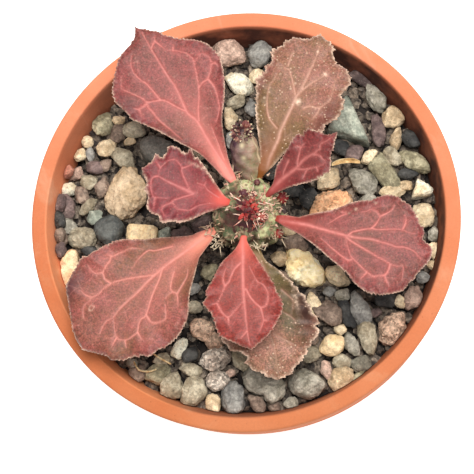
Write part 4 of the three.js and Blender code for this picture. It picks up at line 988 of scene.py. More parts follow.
def make_succulent_skin(name):
    """Succulent skin: two greens in patches, a third tone by mask, fine pimples."""
    tones = ("Green Tone", "Pale Tone", "Dark Tone")
    tree, given, result = new_group(name, tones, [mask.title() for mask in SKIN_MASKS])
    place = given["Place"]
    cloud = spread(grain(place, 260.0, 4, 0.6, 0.4), 0.36, 0.64)
    green = blend_colour(times(cloud, given["Swell"], clamp=True),
                         given["Green Tone"], given["Pale Tone"])
    fine = grain(place, 2200.0, 4, 0.7)
    green = tinted(green, join_grey(spread(fine, 0.3, 0.7, 0.78, 1.18)))
    freckles = spread(grain(place, 1000.0, 3, 0.6), 0.5, 0.62, 0.0, 0.7)
    green = blend_colour(freckles, green, tone((178, 136, 112)))
    dusk = times(given["Dusk"], spread(grain(place, 500.0, 3), 0.3, 0.6, 0.65, 1.0))
    dark = blend_colour(dusk, green, given["Dark Tone"])
    ringed = blend_colour(given["Halo"], dark, tone((226, 208, 170)))
    tree.links.new(blend_colour(given["Scar"], ringed, tone((96, 34, 34))), result["Colour"])
    tree.links.new(spread(fine, 0.3, 0.7, 0.45, 0.65), result["Roughness"])
    tree.links.new(plus(times(fine, 0.6), cloud), result["Height"])
    return tree


def shared_group(build):
    name = build.__name__.removeprefix("make_")
    return bpy.data.node_groups.get(name) or build(name)


def new_material(name):
    material = bpy.data.materials.new(name)
    material.use_nodes = True
    tree = material.node_tree
    return material, tree, tree.nodes["Principled BSDF"]


def set_surface(shader, colour, roughness, height, gloss, bump, depth):
    """Gives the shader its colour, roughness, gloss and relief."""
    tree = shader.id_data
    tree.links.new(colour, shader.inputs["Base Color"])
    tree.links.new(roughness, shader.inputs["Roughness"])
    shader.inputs["Specular IOR Level"].default_value = gloss
    relief = add_node(tree, "ShaderNodeBump", Strength=bump, Distance=depth, Height=height)
    tree.links.new(relief.outputs[0], shader.inputs["Normal"])


def group_material(name, build, masks, tones, values, gloss, bump, depth):
    """A material of one shared group, with its tones, masks and values set."""
    material, tree, shader = new_material(name)
    group = tree.nodes.new("ShaderNodeGroup")
    group.node_tree = shared_group(build)
    inputs = {"Place": object_place(tree), **{key: tone(colour) for key, colour in tones.items()}, **values}
    for key, value in inputs.items():
        feed(tree, group.inputs[key], value)
    for mask in masks:
        reader = add_node(tree, "ShaderNodeAttribute", {"attribute_name": mask})
        feed(tree, group.inputs[mask.title()], reader.outputs["Fac"])
    set_surface(shader, *(group.outputs[key] for key in SURFACE), gloss, bump, depth)
    return material


def mineral_material(name, main, second, pits, rough, patch=150.0, pit_scale=900.0, bump=0.5, grains=0.0):
    tones = {"Main Tone": main, "Second Tone": second}
    values = {"Patch Scale": patch, "Grain Scale": GRAIN_SCALE, "Pits": pits, "Pit Scale": pit_scale,
              "Roughness": rough, "Grains": grains}
    return group_material(name, make_mineral_surface, ("shade",), tones, values, 0.3, bump, 0.0004)


def inner_wall_light_and_shade(place, axes):
    """Tint of the inner wall: darker at the back and on the right, with painted light that brightens the
    front left where leaf and rim shade it, and painted shade at the front.
    """
    reach = maths("SQRT", plus(maths("POWER", axes[0], 2.0), maths("POWER", axes[1], 2.0)))
    inside = times(spread(reach, 0.0516, 0.0511), spread(axes[2], 0.079, 0.082))
    below = spread(axes[2], 0.0949, 0.0932)
    ragged = spread(grain(place, 120.0, 4, 0.6), 0.3, 0.6, 0.55, 1.0)
    across = plus(axes[1], times(axes[0], 0.8))
    side = spread(across, -0.03, 0.035)
    amount = times(times(inside, below), times(ragged, side))
    # Painted light on the left of the wall's front, painted shade at its front middle and right.
    dry = blend_colour(spread(axes[0], -0.024, -0.01, 1.0, 0.0), (0.6, 0.6, 0.65, 1), (1.45, 1.7, 1.85, 1))
    dry = blend_colour(spread(across, -0.04, -0.02, 1.0, 0.0), WHITE, dry)
    dry = blend_colour(inside, WHITE, dry)
    return blend_colour(amount, dry, (0.11, 0.12, 0.16, 1))


def terracotta_material():
    """Fired clay: warmly coloured, mottled a little, with a faint pale bloom; painted shade in the pores and
    towards the front and left, and painted light and shade on the inner wall.
    """
    options = settings().pot
    material, tree, shader = new_material("terracotta")
    place = object_place(tree)
    cloud = spread(grain(place, 45.0, 4, 0.6), 0.35, 0.65)
    base = blend_colour(cloud, (*options.clay, 1), (*options.pale_clay, 1))
    fine = grain(place, 1800.0, 5, 0.75)
    base = tinted(base, join_grey(spread(fine, 0.3, 0.7, 0.92, 1.06)))
    pores = spread(cells(place, 700.0), 0.05, 0.14, 1.0, 0.0)
    gate = spread(grain(place, 160.0, 2), 0.52, 0.62)
    pores = times(pores, gate)
    # Painted shade in the pores.
    base = blend_colour(times(pores, 0.35), base, tone((120, 62, 38)))
    bloom = spread(grain(place, 70.0, 6, 0.65, 0.8), 0.56, 0.74, 0.0, 0.28)
    base = blend_colour(bloom, base, tone((240, 208, 184)))
    axes = add_node(tree, "ShaderNodeSeparateXYZ", Vector=place).outputs
    # Painted shade: the clay darkens towards the front and on the left, where the lamp lights it less.
    ahead = plus(axes[1], times(maths("MINIMUM", axes[0], 0.0), 0.3))
    front = spread(plus(ahead, times(cloud, 0.012)), -0.05, 0.045, 1.0, 0.0)
    base = blend_colour(front, base, tinted(base, (0.72, 0.67, 0.49, 1)))
    # Painted light and shade on the inner wall, which is also darker at the back and on the right.
    base = tinted(base, inner_wall_light_and_shade(place, axes))
    height = maths("SUBTRACT", times(fine, 0.4), pores)
    set_surface(shader, base, spread(fine, 0.3, 0.7, 0.8, 0.95), height, 0.25, 0.25, 0.0003)
    return material


def leaf_material(name, blade, vein, stalk):
    main, inner, margin, specks = BLADE_TONES[blade]
    tones = {"Blade Tone": main, "Inner Tone": inner, "Margin Tone": margin, "Vein Tone": VEIN_TONES[vein],
             "Stalk Tone": STALK_TONES[stalk], "Rim Tone": (248, 216, 190), "Speck Tone": (216, 186, 160)}
    return group_material(name, make_leaf_skin, LEAF_MASKS, tones, {"Specks": specks}, 0.35, 0.35, 0.0003)


def skin_material(name, green, pale, dark):
    tones = {"Green Tone": green, "Pale Tone": pale, "Dark Tone": dark}
    return group_material(name, make_succulent_skin, SKIN_MASKS, tones, {}, 0.35, 0.4, 0.0003)


# Pot and mulch

def pot_profile():
    """Turned outline of the pot, its corners rounded."""
    collar_foot = POT_HEIGHT - COLLAR_HEIGHT
    collar_radius = RIM_RADIUS - COLLAR_FLARE
    body_top = collar_radius - COLLAR_STEP
    lip = POT_HEIGHT - LIP_DEPTH
    corners = [
        (DRAIN_RADIUS, 0, 0.3), (FOOT_RADIUS, 0, 0.9), (body_top, collar_foot - COLLAR_STEP / 2, 0.8),
        (collar_radius, collar_foot, 0.9), (RIM_RADIUS, POT_HEIGHT, 0.9), (MOUTH_RADIUS, POT_HEIGHT, 0.55),
        (wall_radius(lip), lip, 2.0), (wall_radius(FLOOR_THICKNESS), FLOOR_THICKNESS, 2.5),
        (DRAIN_RADIUS, FLOOR_THICKNESS, 0.3),
    ]
    outline = []
    for index, (radius, height, round_off) in enumerate(corners):
        here = np.array([radius, height], float)
        before = np.array(corners[index - 1][:2], float) - here
        after = np.array(corners[(index + 1) % len(corners)][:2], float) - here
        start = here + before / np.linalg.norm(before) * round_off
        end = here + after / np.linalg.norm(after) * round_off
        for share in (0, 0.25, 0.5, 0.75, 1):
            outline.append((1 - share) ** 2 * start + 2 * share * (1 - share) * here + share ** 2 * end)
    return np.array(outline)


def build_pot():
    options = settings().pot
    sides = options.sides
    outline = pot_profile()
    dense = []
    for index, point in enumerate(outline):
        after = outline[(index + 1) % len(outline)]
        steps = max(1, int(np.linalg.norm(after - point) / 4))
        dense += [point + (after - point) * step / steps for step in range(steps)]
    outline = np.array(dense)
    turns = np.linspace(0, 2 * math.pi, sides, endpoint=False)
    waver = 1 + 0.0012 * np.sin(2 * turns + 0.6) + 0.0006 * np.sin(5 * turns)
    points = []
    for radius, height in outline:
        ring = radius * waver
        points.append(np.stack([ring * np.cos(turns), ring * np.sin(turns), np.full(sides, height)], 1))
    make_mesh_piece("terracotta_pot", np.concatenate(points), lathe_faces(len(outline), sides),
                    terracotta_material(), "terracotta", ("pot",))


def plane_set(draw, outline, height):
    """Planes that bound a stone: its plan outline with bevels, or an even spread of uneven faces."""
    normals, offsets = [], []
    if outline:
        normals += [(0, 0, 1), (0, 0, -1)]
        offsets += [height / 2, height / 2]
        for (x, y), (next_x, next_y) in zip(outline, [*outline[1:], outline[0]]):
            along = math.hypot(next_x - x, next_y - y)
            side = ((next_y - y) / along, (x - next_x) / along)
            offset = side[0] * x + side[1] * y
            lean = draw(0.5, 0.9)
            flat = math.sqrt(1 - lean * lean)
            normals += [(side[0], side[1], 0), (side[0] * flat, side[1] * flat, lean)]
            offsets += [offset, (offset * flat + height / 2 * lean) * draw(0.86, 0.94)]
        return np.array(normals), np.array(offsets)
    for index in range(16):
        lift = 1 - (2 * index + 1) / 16
        flat = math.sqrt(1 - lift * lift)
        turn = index * 2.4 + draw(-0.6, 0.6)
        normals.append((flat * math.cos(turn), flat * math.sin(turn), lift))
        offsets.append(draw(0.7, 1.0))
    return np.array(normals), np.array(offsets)


def stone_form(directions, size, seed, crisp, lumps, outline=()):
    """A worn stone: flat faces that meet in rounded edges, with low lumps and a rough skin."""
    draw = make_draw(seed)
    normals, offsets = plane_set(draw, outline, size[2])
    facing = np.maximum(directions @ normals.T, 0) / offsets
    radius = np.sum(facing ** crisp, axis=1) ** (-1 / crisp)
    radius *= 1 + lumps * noise_field(directions, 1.5, seed % 97, 2)
    radius *= 1 + lumps * 0.45 * noise_field(directions, 5.0, seed % 89, 3)
    shape = directions * radius[:, None]
    low, high = shape.min(axis=0), shape.max(axis=0)
    if outline:
        return shape
    return (shape - (low + high) / 2) / (high - low) * np.array(size)


def pit_stone(points, seed, count, width, depth):
    """Presses round pits into a porous stone."""
    draw = make_draw(seed)
    middle = points.mean(axis=0)
    outward = points - middle
    reach = np.linalg.norm(outward, axis=1)[:, None]
    sunk = np.zeros(len(points))
    for _ in range(count):
        centre = points[int(draw(0, len(points) - 1))]
        wide = width * draw(0.5, 1.3)
        gap = np.linalg.norm(points - centre, axis=1)
        sunk = np.maximum(sunk, depth * wide * np.clip(1.3 - (gap / wide) ** 2, 0, 1))
    return points - outward / reach * sunk[:, None], np.clip(sunk / (depth * width), 0, 1)


def seat_stone(points, x, y, turn, tilt, top):
    """Turns a stone into place, with its highest point at the given level, inside the pot's wall."""
    spin = np.array(Euler([math.radians(angle) for angle in (*tilt, turn)], "XYZ").to_matrix())
    placed = points @ spin.T
    placed += np.array([x, y, top - placed[:, 2].max()])
    reach = np.hypot(placed[:, 0], placed[:, 1])
    room = wall_radius(placed[:, 2]) - WALL_ROOM
    shrink = np.minimum(1, room / np.maximum(reach, 1e-6))
    placed[:, :2] *= shrink[:, None]
    return placed


def filler_stones(taken):
    """Small stones thrown by a seeded rule and kept where they have room."""
    draw = make_draw(FILLER_SEED)
    placed = [(stone[0], stone[1], (stone[2] + stone[3]) / 4) for stone in taken]
    stones = []
    for _ in range(FILLER_TRIES):
        if len(stones) >= FILLER_COUNT:
            break
        radius = draw(*FILLER_RADIUS)
        reach = math.sqrt(draw(0, 1)) * (float(wall_radius(FILLER_LEVEL)) - radius)
        turn = draw(0, 2 * math.pi)
        x, y = reach * math.cos(turn), reach * math.sin(turn)
        if all(math.hypot(x - px, y - py) > (radius + other) * FILLER_SPACING for px, py, other in placed):
            placed.append((x, y, radius))
            stones.append((x, y, radius * draw(2, 2.5), radius * draw(1.6, 1.9), draw(0, 180),
                           FILLER_KINDS[len(stones) % len(FILLER_KINDS)]))
    return stones


def stone_material(kind):
    name = "stone_" + kind
    if name in bpy.data.materials:
        return bpy.data.materials[name]
    main, second, pits, grains, _, rough = KINDS[kind]
    porous = kind in POROUS
    return mineral_material(name, main, second, pits, rough, patch=130.0 if porous else 210.0,
                            pit_scale=650.0 if porous else 1100.0, bump=1.0 if porous else 0.7, grains=grains)


def top_light(points):
    """Painted shade of a stone by height: paler on top and darker at its foot."""
    low, high = points[:, 2].min(), points[:, 2].max()
    return 1.3 * ((points[:, 2] - low) / (high - low) - 0.78)


def build_gravel():
    directions, faces = ball(4)
    stones = [*STONES, *filler_stones([*LARGE_STONES.values(), *STONES]), *EDGE_STONES]
    piles = {}
    for index, (x, y, length, width, turn, kind) in enumerate(stones):
        draw = make_draw(311 + index * 17)
        lodged = (x, y, length, width, turn, kind) in EDGE_STONES
        height = width * draw(0.72, 0.9) * (1.5 if lodged else 1)
        size = (length * STONE_SPREAD[0], width * STONE_SPREAD[1], height)
        shape = stone_form(directions, size, 19 + index * 7, KINDS[kind][4], 0.14)
        top = STONE_LINE + STONE_RISE * width + (EDGE_LIFT if lodged else 0)
        placed = seat_stone(shape, x, y, turn, (draw(-14, 14), draw(-14, 14)), top)
        pile = piles.setdefault(kind, {"points": [], "faces": [], "shade": []})
        start = len(pile["points"]) * len(directions)
        pile["points"].append(placed)
        pile["faces"] += [tuple(corner + start for corner in face) for face in faces]
        # Shade mask: a tone of its own for each stone, with painted shade towards its foot.
        pile["shade"].append(draw(0.25, 0.85) + top_light(placed))
    stands_for = ("gravel",)
    for kind, pile in sorted(piles.items()):
        make_mesh_piece("gravel_" + kind, np.concatenate(pile["points"]), pile["faces"], stone_material(kind),
                        "gravel", stands_for, {"shade": np.concatenate(pile["shade"])})
        stands_for = ()


def build_large_stones():
    directions, faces = ball(5)
    for index, (name, (x, y, length, width, turn, kind)) in enumerate(LARGE_STONES.items()):
        seed = 301 + index * 13
        draw = make_draw(seed)
        height = width * STONE_FLATNESS
        lumps = 0.14 if kind in POROUS else 0.07
        outline = OUTLINES.get(name, ())
        shape = stone_form(directions, (length, width, height), seed, KINDS[kind][4], lumps, outline)
        hollow = np.zeros(len(shape))
        if kind in POROUS:
            shape, hollow = pit_stone(shape, seed, 20 if kind == "pumice" else 60, 0.55, 0.35)
        top = STONE_LINE + STONE_RISE * width
        tilt = (0, 0) if outline else (draw(-12, 12), 0)
        placed = seat_stone(shape, x, y, 0 if outline else turn, tilt, top)
        # Shade mask: a base level, raised as painted light on some kinds, with painted shade towards the foot
        # and in the pits.
        shade = PAINTED_LIGHT_LEVEL.get(kind, 0.65) + top_light(placed) - 0.8 * hollow
        slot = STONE_SLOTS.get(kind, "pebble")
        make_mesh_piece(name + "_worn", placed, faces, stone_material(kind), slot, (name,), {"shade": shade})


def bed_points():
    """Lumpy floor of the mulch, a little below the stones."""
    rings, sides = 46, 96
    reach = np.linspace(0.5, float(wall_radius(BED_LEVEL)) - 0.2, rings)
    turns = np.linspace(0, 2 * math.pi, sides, endpoint=False)
    x = np.outer(reach, np.cos(turns)).ravel()
    y = np.outer(reach, np.sin(turns)).ravel()
    flat = np.stack([x, y, np.zeros_like(x)], 1)
    z = BED_LEVEL + 0.7 * noise_field(flat, 0.35, 5, 3)
    return np.stack([x, y, z], 1), rings, sides


# Stem, shoots and crowns

def bulge_at(turn, height, radius):
    """How far a point of the stem is up a tubercle, 0 to 1."""
    best = np.zeros(np.broadcast(turn, height).shape)
    for tubercle_turn, tubercle_height in TUBERCLES:
        offset = turn - math.radians(tubercle_turn)
        apart = np.arctan2(np.sin(offset), np.cos(offset))
        along = apart * radius / TUBERCLE_SPREAD
        rise = (height - tubercle_height) / TUBERCLE_SPREAD
        best = np.maximum(best, np.exp(-along * along - rise * rise))
    return best


def stem_surface(turn, height):
    """Points on the stem's skin, and how far each is up a tubercle."""
    radius = value_at(STEM_PROFILE, height)
    bulge = bulge_at(turn, height, radius)
    swell = (TUBERCLE_HEIGHT + TUBERCLE_VALLEY) * bulge - TUBERCLE_VALLEY
    reach = radius + swell * np.minimum(1, radius / 4)
    x = STEM_AXIS[0] + reach * np.cos(turn)
    y = STEM_AXIS[1] + reach * np.sin(turn)
    return np.stack([x, y, height], -1), bulge


def scar_masks(points):
    """Leaf scars, a dark spot in a pale ring above the tip of each tubercle."""
    draw = make_draw(SCAR_SEED)
    scar, halo = np.zeros(len(points)), np.zeros(len(points))
    ragged = 1 + 0.35 * noise_field(points, 1.3, 6, 2)
    for turn_degrees, height in TUBERCLES:
        turn = math.radians(turn_degrees + draw(-5, 5))
        tip = stem_surface(np.array(turn), np.array(height + draw(0.2, 1.2)))[0]
        size = draw(0.35, 0.8)
        gap = np.linalg.norm((points - tip) * np.array([1, 1, draw(0.9, 1.6)]), axis=1) * ragged
        scar = np.maximum(scar, draw(0.3, 0.9) * np.clip((size - gap) / 0.35, 0, 1))
        halo = np.maximum(halo, draw(0.1, 0.8) * np.exp(-((gap - size - 0.15) / 0.3) ** 2))
    return scar, halo


def crown_shadow(points):
    """Dark ragged zone round the crown, widest ahead of it and to its left."""
    offset = points[:, :2] - np.array(HEART[:2])
    low = 0.5 + 0.5 * np.cos(np.arctan2(offset[:, 1], offset[:, 0]) - math.radians(245))
    reach = 3.5 + 1.1 * low + 2.4 * noise_field(points, 0.7, 12, 3)
    return 1.05 * np.clip((reach - np.linalg.norm(offset, axis=1)) / 0.6, 0, 1) * (points[:, 2] > SHADOW_FOOT)


def pale_ridge(points):
    """Nearness of each point to the pale ridge, seen from above."""
    start, end = np.array(RIDGE[0]), np.array(RIDGE[1])
    share = np.clip((points[:, :2] - start) @ (end - start) / ((end - start) @ (end - start)), 0, 1)
    gap = np.linalg.norm(points[:, :2] - start - share[:, None] * (end - start), axis=1)
    return np.exp(-(gap / RIDGE_WIDTH) ** 2)


def stem_masks(points, bulge):
    """Masks of the stem: pale on its tubercles towards the light as a painted highlight, dark between them as
    painted shade, and dark round the crown.
    """
    crevice_shade = np.clip((0.6 - bulge) / 0.34, 0, 1) * 0.9
    turn = np.arctan2(points[:, 1] - STEM_AXIS[1], points[:, 0] - STEM_AXIS[0])
    bright = 0.5 + 0.5 * np.cos(turn - math.radians(BRIGHT_SIDE))
    ridge = pale_ridge(points)
    scar, halo = scar_masks(points)
    swell = 0.75 * bulge * bright ** 0.6 + 0.45 * bright + 0.8 * ridge
    dusk = np.maximum(crevice_shade, crown_shadow(points)) * (1 - ridge)
    return {"swell": swell, "dusk": dusk, "scar": scar, "halo": halo}


def build_stem():
    sides, levels = 240, 150
    turns = np.linspace(0, 2 * math.pi, sides, endpoint=False)
    heights = STEM_FOOT + STEM_RISE * np.linspace(0, 1, levels) ** 0.75
    turn_grid, height_grid = np.meshgrid(turns, heights)
    points, bulge = stem_surface(turn_grid, height_grid)
    points = points.reshape(-1, 3)
    lumps = noise_field(points, 0.8, 3, 3) + 0.6 * noise_field(points, 2.4, 4, 3)
    outward = points[:, :2] - np.array(STEM_AXIS)
    outward /= np.maximum(np.linalg.norm(outward, axis=1), 0.3)[:, None]
    points[:, :2] += outward * (0.2 * lumps)[:, None]
    points = np.vstack([points, [*STEM_AXIS, STEM_FOOT], [*STEM_AXIS, STEM_TIP]])
    count = len(points)
    material = skin_material("stem_skin", (84, 96, 66), (206, 210, 156), (72, 32, 35))
    make_mesh_piece("stem_skin", points, tube_faces(levels, sides, count - 2, count - 1), material, "stem",
                    ("stem",), stem_masks(points, np.append(bulge.ravel(), [0, 0])))


def build_side_shoot():
    steps, sides = 40, 72
    line = smooth_path(SHOOT_LINE, steps)
    radii = np.interp(np.linspace(0, len(SHOOT_LINE) - 1, steps + 1), range(len(SHOOT_LINE)), SHOOT_RADII)
    points, swell, dusk, halo = [], [], [], []
    for index, centre in enumerate(line):
        _, across, rise = ring_frame(line[min(index + 1, steps)] - line[max(index - 1, 0)])
        share = index / steps
        for side in range(sides):
            turn = 2 * math.pi * side / sides
            knob = math.cos(5 * turn + share * 9) * math.sin(share * 18)
            radius = radii[index] * (1 + 0.07 * knob)
            points.append(centre + radius * (across * math.cos(turn) + rise * math.sin(turn)))
            swell.append(min(1, max(0, 1.6 * share + 0.25 * knob)))
            dusk.append(min(1, max(0, 0.1 + share * 0.5 + 0.7 * math.cos(turn))))
            scars = [math.hypot((turn - at) * radius, (share - up) * SHOOT_LENGTH) for at, up in SHOOT_SCARS]
            # Painted highlight: a pale line along the shoot's lit edge, carried in the halo mask with the
            # leaf scars.
            edge = 0.9 * math.exp(-((turn - 2.75) * radius / 0.4) ** 2) * min(1, share * 3)
            halo.append(max(edge, *[math.exp(-(gap / 0.55) ** 2) for gap in scars]))
    points += [line[0], line[-1] + np.array([0, 0.6, 0.8])]
    count = len(points)
    material = skin_material("shoot_skin", (150, 144, 106), (196, 162, 146), (84, 55, 68))
    masks = {"swell": swell + [0, 0], "dusk": dusk + [0.5, 1], "halo": halo + [0, 0]}
    make_mesh_piece("side_shoot_skin", points, tube_faces(steps + 1, sides, count - 2, count - 1), material,
                    "stem", ("side_shoot",), masks)


def petal(root, heading, lean, length, width, curl):
    """A small fleshy leaf: a thin cupped spindle, closed, with its tip bent."""
    rows, sides = 9, 12
    turn = math.radians(heading)
    points = []
    for row in range(rows):
        share = (row + 0.5) / rows
        tip = math.radians(lean + curl * share * 60)
        out = length * share * math.sin(tip)
        up = length * share * math.cos(tip)
        half = width / 2 * (1 - share) ** 0.6 * min(1, 0.5 + share * 2.5)
        for side in range(sides):
            around = 2 * math.pi * side / sides
            v = half * math.cos(around)
            thick = half * 0.35 * math.sin(around) + 0.25 * half * math.cos(around) ** 2
            points.append((
                root[0] + (out - thick * math.cos(tip)) * math.cos(turn) - v * math.sin(turn),
                root[1] + (out - thick * math.cos(tip)) * math.sin(turn) + v * math.cos(turn),
                root[2] + up + thick * math.sin(tip),
            ))
    end = math.radians(lean + curl * 60)
    points.append(tuple(root))
    points.append((root[0] + length * math.sin(end) * math.cos(turn),
                   root[1] + length * math.sin(end) * math.sin(turn), root[2] + length * math.cos(end)))
    count = len(points)
    return np.array(points), tube_faces(rows, sides, count - 2, count - 1)


def join_parts(parts):
    """Points and faces of several closed parts as one piece."""
    points, faces, start = [], [], 0
    for part_points, part_faces in parts:
        points.append(part_points)
        faces += [tuple(corner + start for corner in face) for face in part_faces]
        start += len(part_points)
    return np.concatenate(points), faces


YOUNG_TONES = {
    "young_growth": ((128, 18, 28), (214, 66, 50), (56, 14, 24)),
    "shoot_growth": ((74, 26, 36), (182, 98, 84), (34, 12, 22)),
    "bud_plum": ((80, 30, 42), (140, 78, 84), (46, 16, 26)),
    "scale_growth": ((148, 54, 44), (216, 126, 98), (62, 18, 23)),
}


def young_material(name):
    return bpy.data.materials.get(name) or skin_material(name, *YOUNG_TONES[name])


def make_young_piece(name, parts, growth, nodes, swell, dusk, halo):
    points, faces = join_parts(parts)
    masks = {"swell": np.concatenate(swell), "dusk": np.concatenate(dusk), "halo": np.concatenate(halo)}
    make_mesh_piece(name, points, faces, young_material(growth), "young_leaf", nodes, masks)


def build_crown(name, node, centre, radius, rings, seed, growth):
    draw = make_draw(seed)
    directions, ball_faces = ball(3)
    cushion = directions * np.array([radius * 0.8, radius * 0.8, 1.0]) + np.array(centre)
    parts = [(cushion, ball_faces)]
    swell, dusk, halo = ([np.full(len(cushion), value)] for value in (0.1, 0.9, 0.0))
    for count, lean, length, width, reach in rings:
        for index in range(count):
            turn = 360 * (index + draw(-0.25, 0.25)) / count + reach * 40
            away = math.radians(turn)
            root = (centre[0] + reach * math.cos(away), centre[1] + reach * math.sin(away), centre[2] + 0.5)
            size = draw(0.75, 1.15)
            heading, tip = turn + draw(-16, 16), lean + draw(-12, 12)
            part = petal(root, heading, tip, length * size, width * size, draw(0, 0.7))
            parts.append(part)
            along = np.linalg.norm(part[0] - np.array(root), axis=1) / (length * size)
            # Painted light: petals on the lit side are paler, those away from it darker as painted shade, and
            # all darker towards their roots.
            lit_side = math.cos(away - 0.75) ** 2
            swell.append(np.clip(draw(0, 0.4) + 0.5 * lit_side + 0.2 * along, 0, 1))
            dusk.append(np.clip(draw(0.2, 1.3) * (1 - 0.4 * along) * (1.15 - 0.95 * lit_side), 0, 1))
            pale = draw(-0.4, 1.3) if growth == "shoot_growth" else draw(-1.5, 0.3)
            halo.append(np.clip((along - 0.66) / 0.2, 0, 1) * max(0, pale))
    make_young_piece(name, parts, growth, (node,), swell, dusk, halo)


def crown_level(x, y, top, slope):
    """Height of the stem's rounded top, which falls away from the stem's axis."""
    return top - slope * math.hypot(x - STEM_AXIS[0], y - STEM_AXIS[1])


def build_scales():
    """Loose brick and peach scales between the rosette and the buds."""
    draw = make_draw(SCALE_SEED)
    parts, swell, dusk, halo = [], [], [], []
    for _ in range(SCALES):
        away = draw(-1.3, 2.6)
        reach = draw(1.8, 4.4)
        x, y = HEART[0] + reach * math.cos(away), HEART[1] + reach * math.sin(away)
        root = (x, y, crown_level(x, y, *SCALE_LEVEL))
        length = draw(0.8, 1.4)
        heading = math.degrees(away) + draw(-70, 70)
        part = petal(root, heading, draw(30, 80), length, draw(0.35, 0.75), draw(-0.4, 0.8))
        parts.append(part)
        along = np.linalg.norm(part[0] - np.array(root), axis=1) / length
        swell.append(np.full(len(along), draw(0, 1)))
        dusk.append(np.full(len(along), draw(-0.2, 0.9)).clip(0, 1))
        halo.append(np.clip((along - 0.3) / 0.5, 0, 1) * max(0.0, draw(-0.3, 1.0)))
    make_young_piece("crown_scales", parts, "scale_growth", (), swell, dusk, halo)


def build_bud(name, x, y, z, radius):
    directions, faces = ball(4)
    ridges = 0.08 * np.cos(5 * np.arctan2(directions[:, 1], directions[:, 0]) + 4 * directions[:, 2])
    points = directions * (radius * (1 + ridges))[:, None] * np.array([1, 1, 0.95]) + np.array([x, y, z])
    # Painted highlight on the top of each bud and painted shade under it.
    swell = np.clip(directions[:, 2] * 0.6 + 0.3, 0, 1)
    growth = "bud_plum" if name in ("bud_purple", "bud_ring", "bud_side") else "young_growth"
    make_mesh_piece(name + "_scales", points, faces, young_material(growth), "young_leaf",
                    (name,) if name in BUDS else (),
                    {"swell": swell, "dusk": 0.4 + 0.4 * np.clip(-directions[:, 2], 0, 1)})


# Geometry node trees

def new_tree(name, inputs):
    """An empty geometry tree with named inputs after its geometry."""
    tree = bpy.data.node_groups.new(name, "GeometryNodeTree")
    tree.interface.new_socket("Geometry", in_out="INPUT", socket_type="NodeSocketGeometry")
    for label, kind, default in inputs:
        socket = tree.interface.new_socket(label, in_out="INPUT", socket_type=kind)
        if default is not None:
            socket.default_value = default
    tree.interface.new_socket("Geometry", in_out="OUTPUT", socket_type="NodeSocketGeometry")
    return tree, tree.nodes.new("NodeGroupInput").outputs, tree.nodes.new("NodeGroupOutput").inputs


def run_tree(name, mesh, tree, values):
    """Runs a geometry tree on a mesh and keeps its result as a plain mesh."""
    holder = add_object(name + "_seed", mesh)
    modifier = holder.modifiers.new("nodes", "NODES")
    modifier.node_group = tree
    keys = {item.name: item.identifier for item in tree.interface.items_tree
            if item.item_type == "SOCKET" and item.in_out == "INPUT"}
    for label, value in values.items():
        modifier[keys[label]] = value
    bpy.context.view_layer.update()
    evaluated = holder.evaluated_get(bpy.context.evaluated_depsgraph_get())
    result = bpy.data.meshes.new_from_object(evaluated)
    holder.modifiers.remove(modifier)
    bpy.data.objects.remove(holder)
    if not len(result.polygons):
        raise RuntimeError(name + " came out empty")
    return add_object(name, result)


def hand_out(instances, skin, result):
    """Makes instances real, gives them their material and ends the tree with them."""
    tree = tree_of(instances)
    real = add_node(tree, "GeometryNodeRealizeInstances", Geometry=instances)
    dressed = add_node(tree, "GeometryNodeSetMaterial", Geometry=real.outputs[0], Material=skin)
    tree.links.new(dressed.outputs[0], result[0])
    return tree


def spine_tree():
    """Thin cones on points, each along its own aim and as long as its own reach."""
    tree, given, result = new_tree("spines", (
        ("Thickness", NUMBER, 0.0002), ("Sides", "NodeSocketInt", 7), ("Skin", "NodeSocketMaterial", None),
    ))
    cone = add_node(tree, "GeometryNodeMeshCone", Vertices=given["Sides"])
    cone.inputs["Side Segments"].default_value = 4
    cone.inputs["Radius Top"].default_value = 0.12
    cone.inputs["Radius Bottom"].default_value = 1.0
    cone.inputs["Depth"].default_value = 1.0
    aim = add_node(tree, "GeometryNodeInputNamedAttribute", {"data_type": "FLOAT_VECTOR"}, Name="aim")
    reach = add_node(tree, "GeometryNodeInputNamedAttribute", {"data_type": "FLOAT"}, Name="reach")
    turn = add_node(tree, "FunctionNodeAlignRotationToVector", {"axis": "Z"}, Vector=aim.outputs[0])
    size = add_node(tree, "ShaderNodeCombineXYZ", X=given["Thickness"], Y=given["Thickness"],
                    Z=reach.outputs[0])
    spread_out = add_node(tree, "GeometryNodeInstanceOnPoints", Points=given["Geometry"],
                          Instance=cone.outputs["Mesh"], Rotation=turn.outputs[0], Scale=size.outputs[0])
    return hand_out(spread_out.outputs[0], given["Skin"], result)


def lumpy_stone(tree):
    """A round stone pushed in and out by noise."""
    stone = add_node(tree, "GeometryNodeMeshIcoSphere", Radius=1.0, Subdivisions=2)
    lumps = add_node(tree, "ShaderNodeTexNoise", Scale=1.3, Detail=1.0)
    normal = add_node(tree, "GeometryNodeInputNormal")
    push = add_node(tree, "ShaderNodeVectorMath", {"operation": "SCALE"}, Vector=normal.outputs[0],
                    Scale=times(maths("SUBTRACT", lumps.outputs[0], 0.5), 1.4))
    shaped = add_node(tree, "GeometryNodeSetPosition", Geometry=stone.outputs[0], Offset=push.outputs[0])
    return shaped.outputs[0]


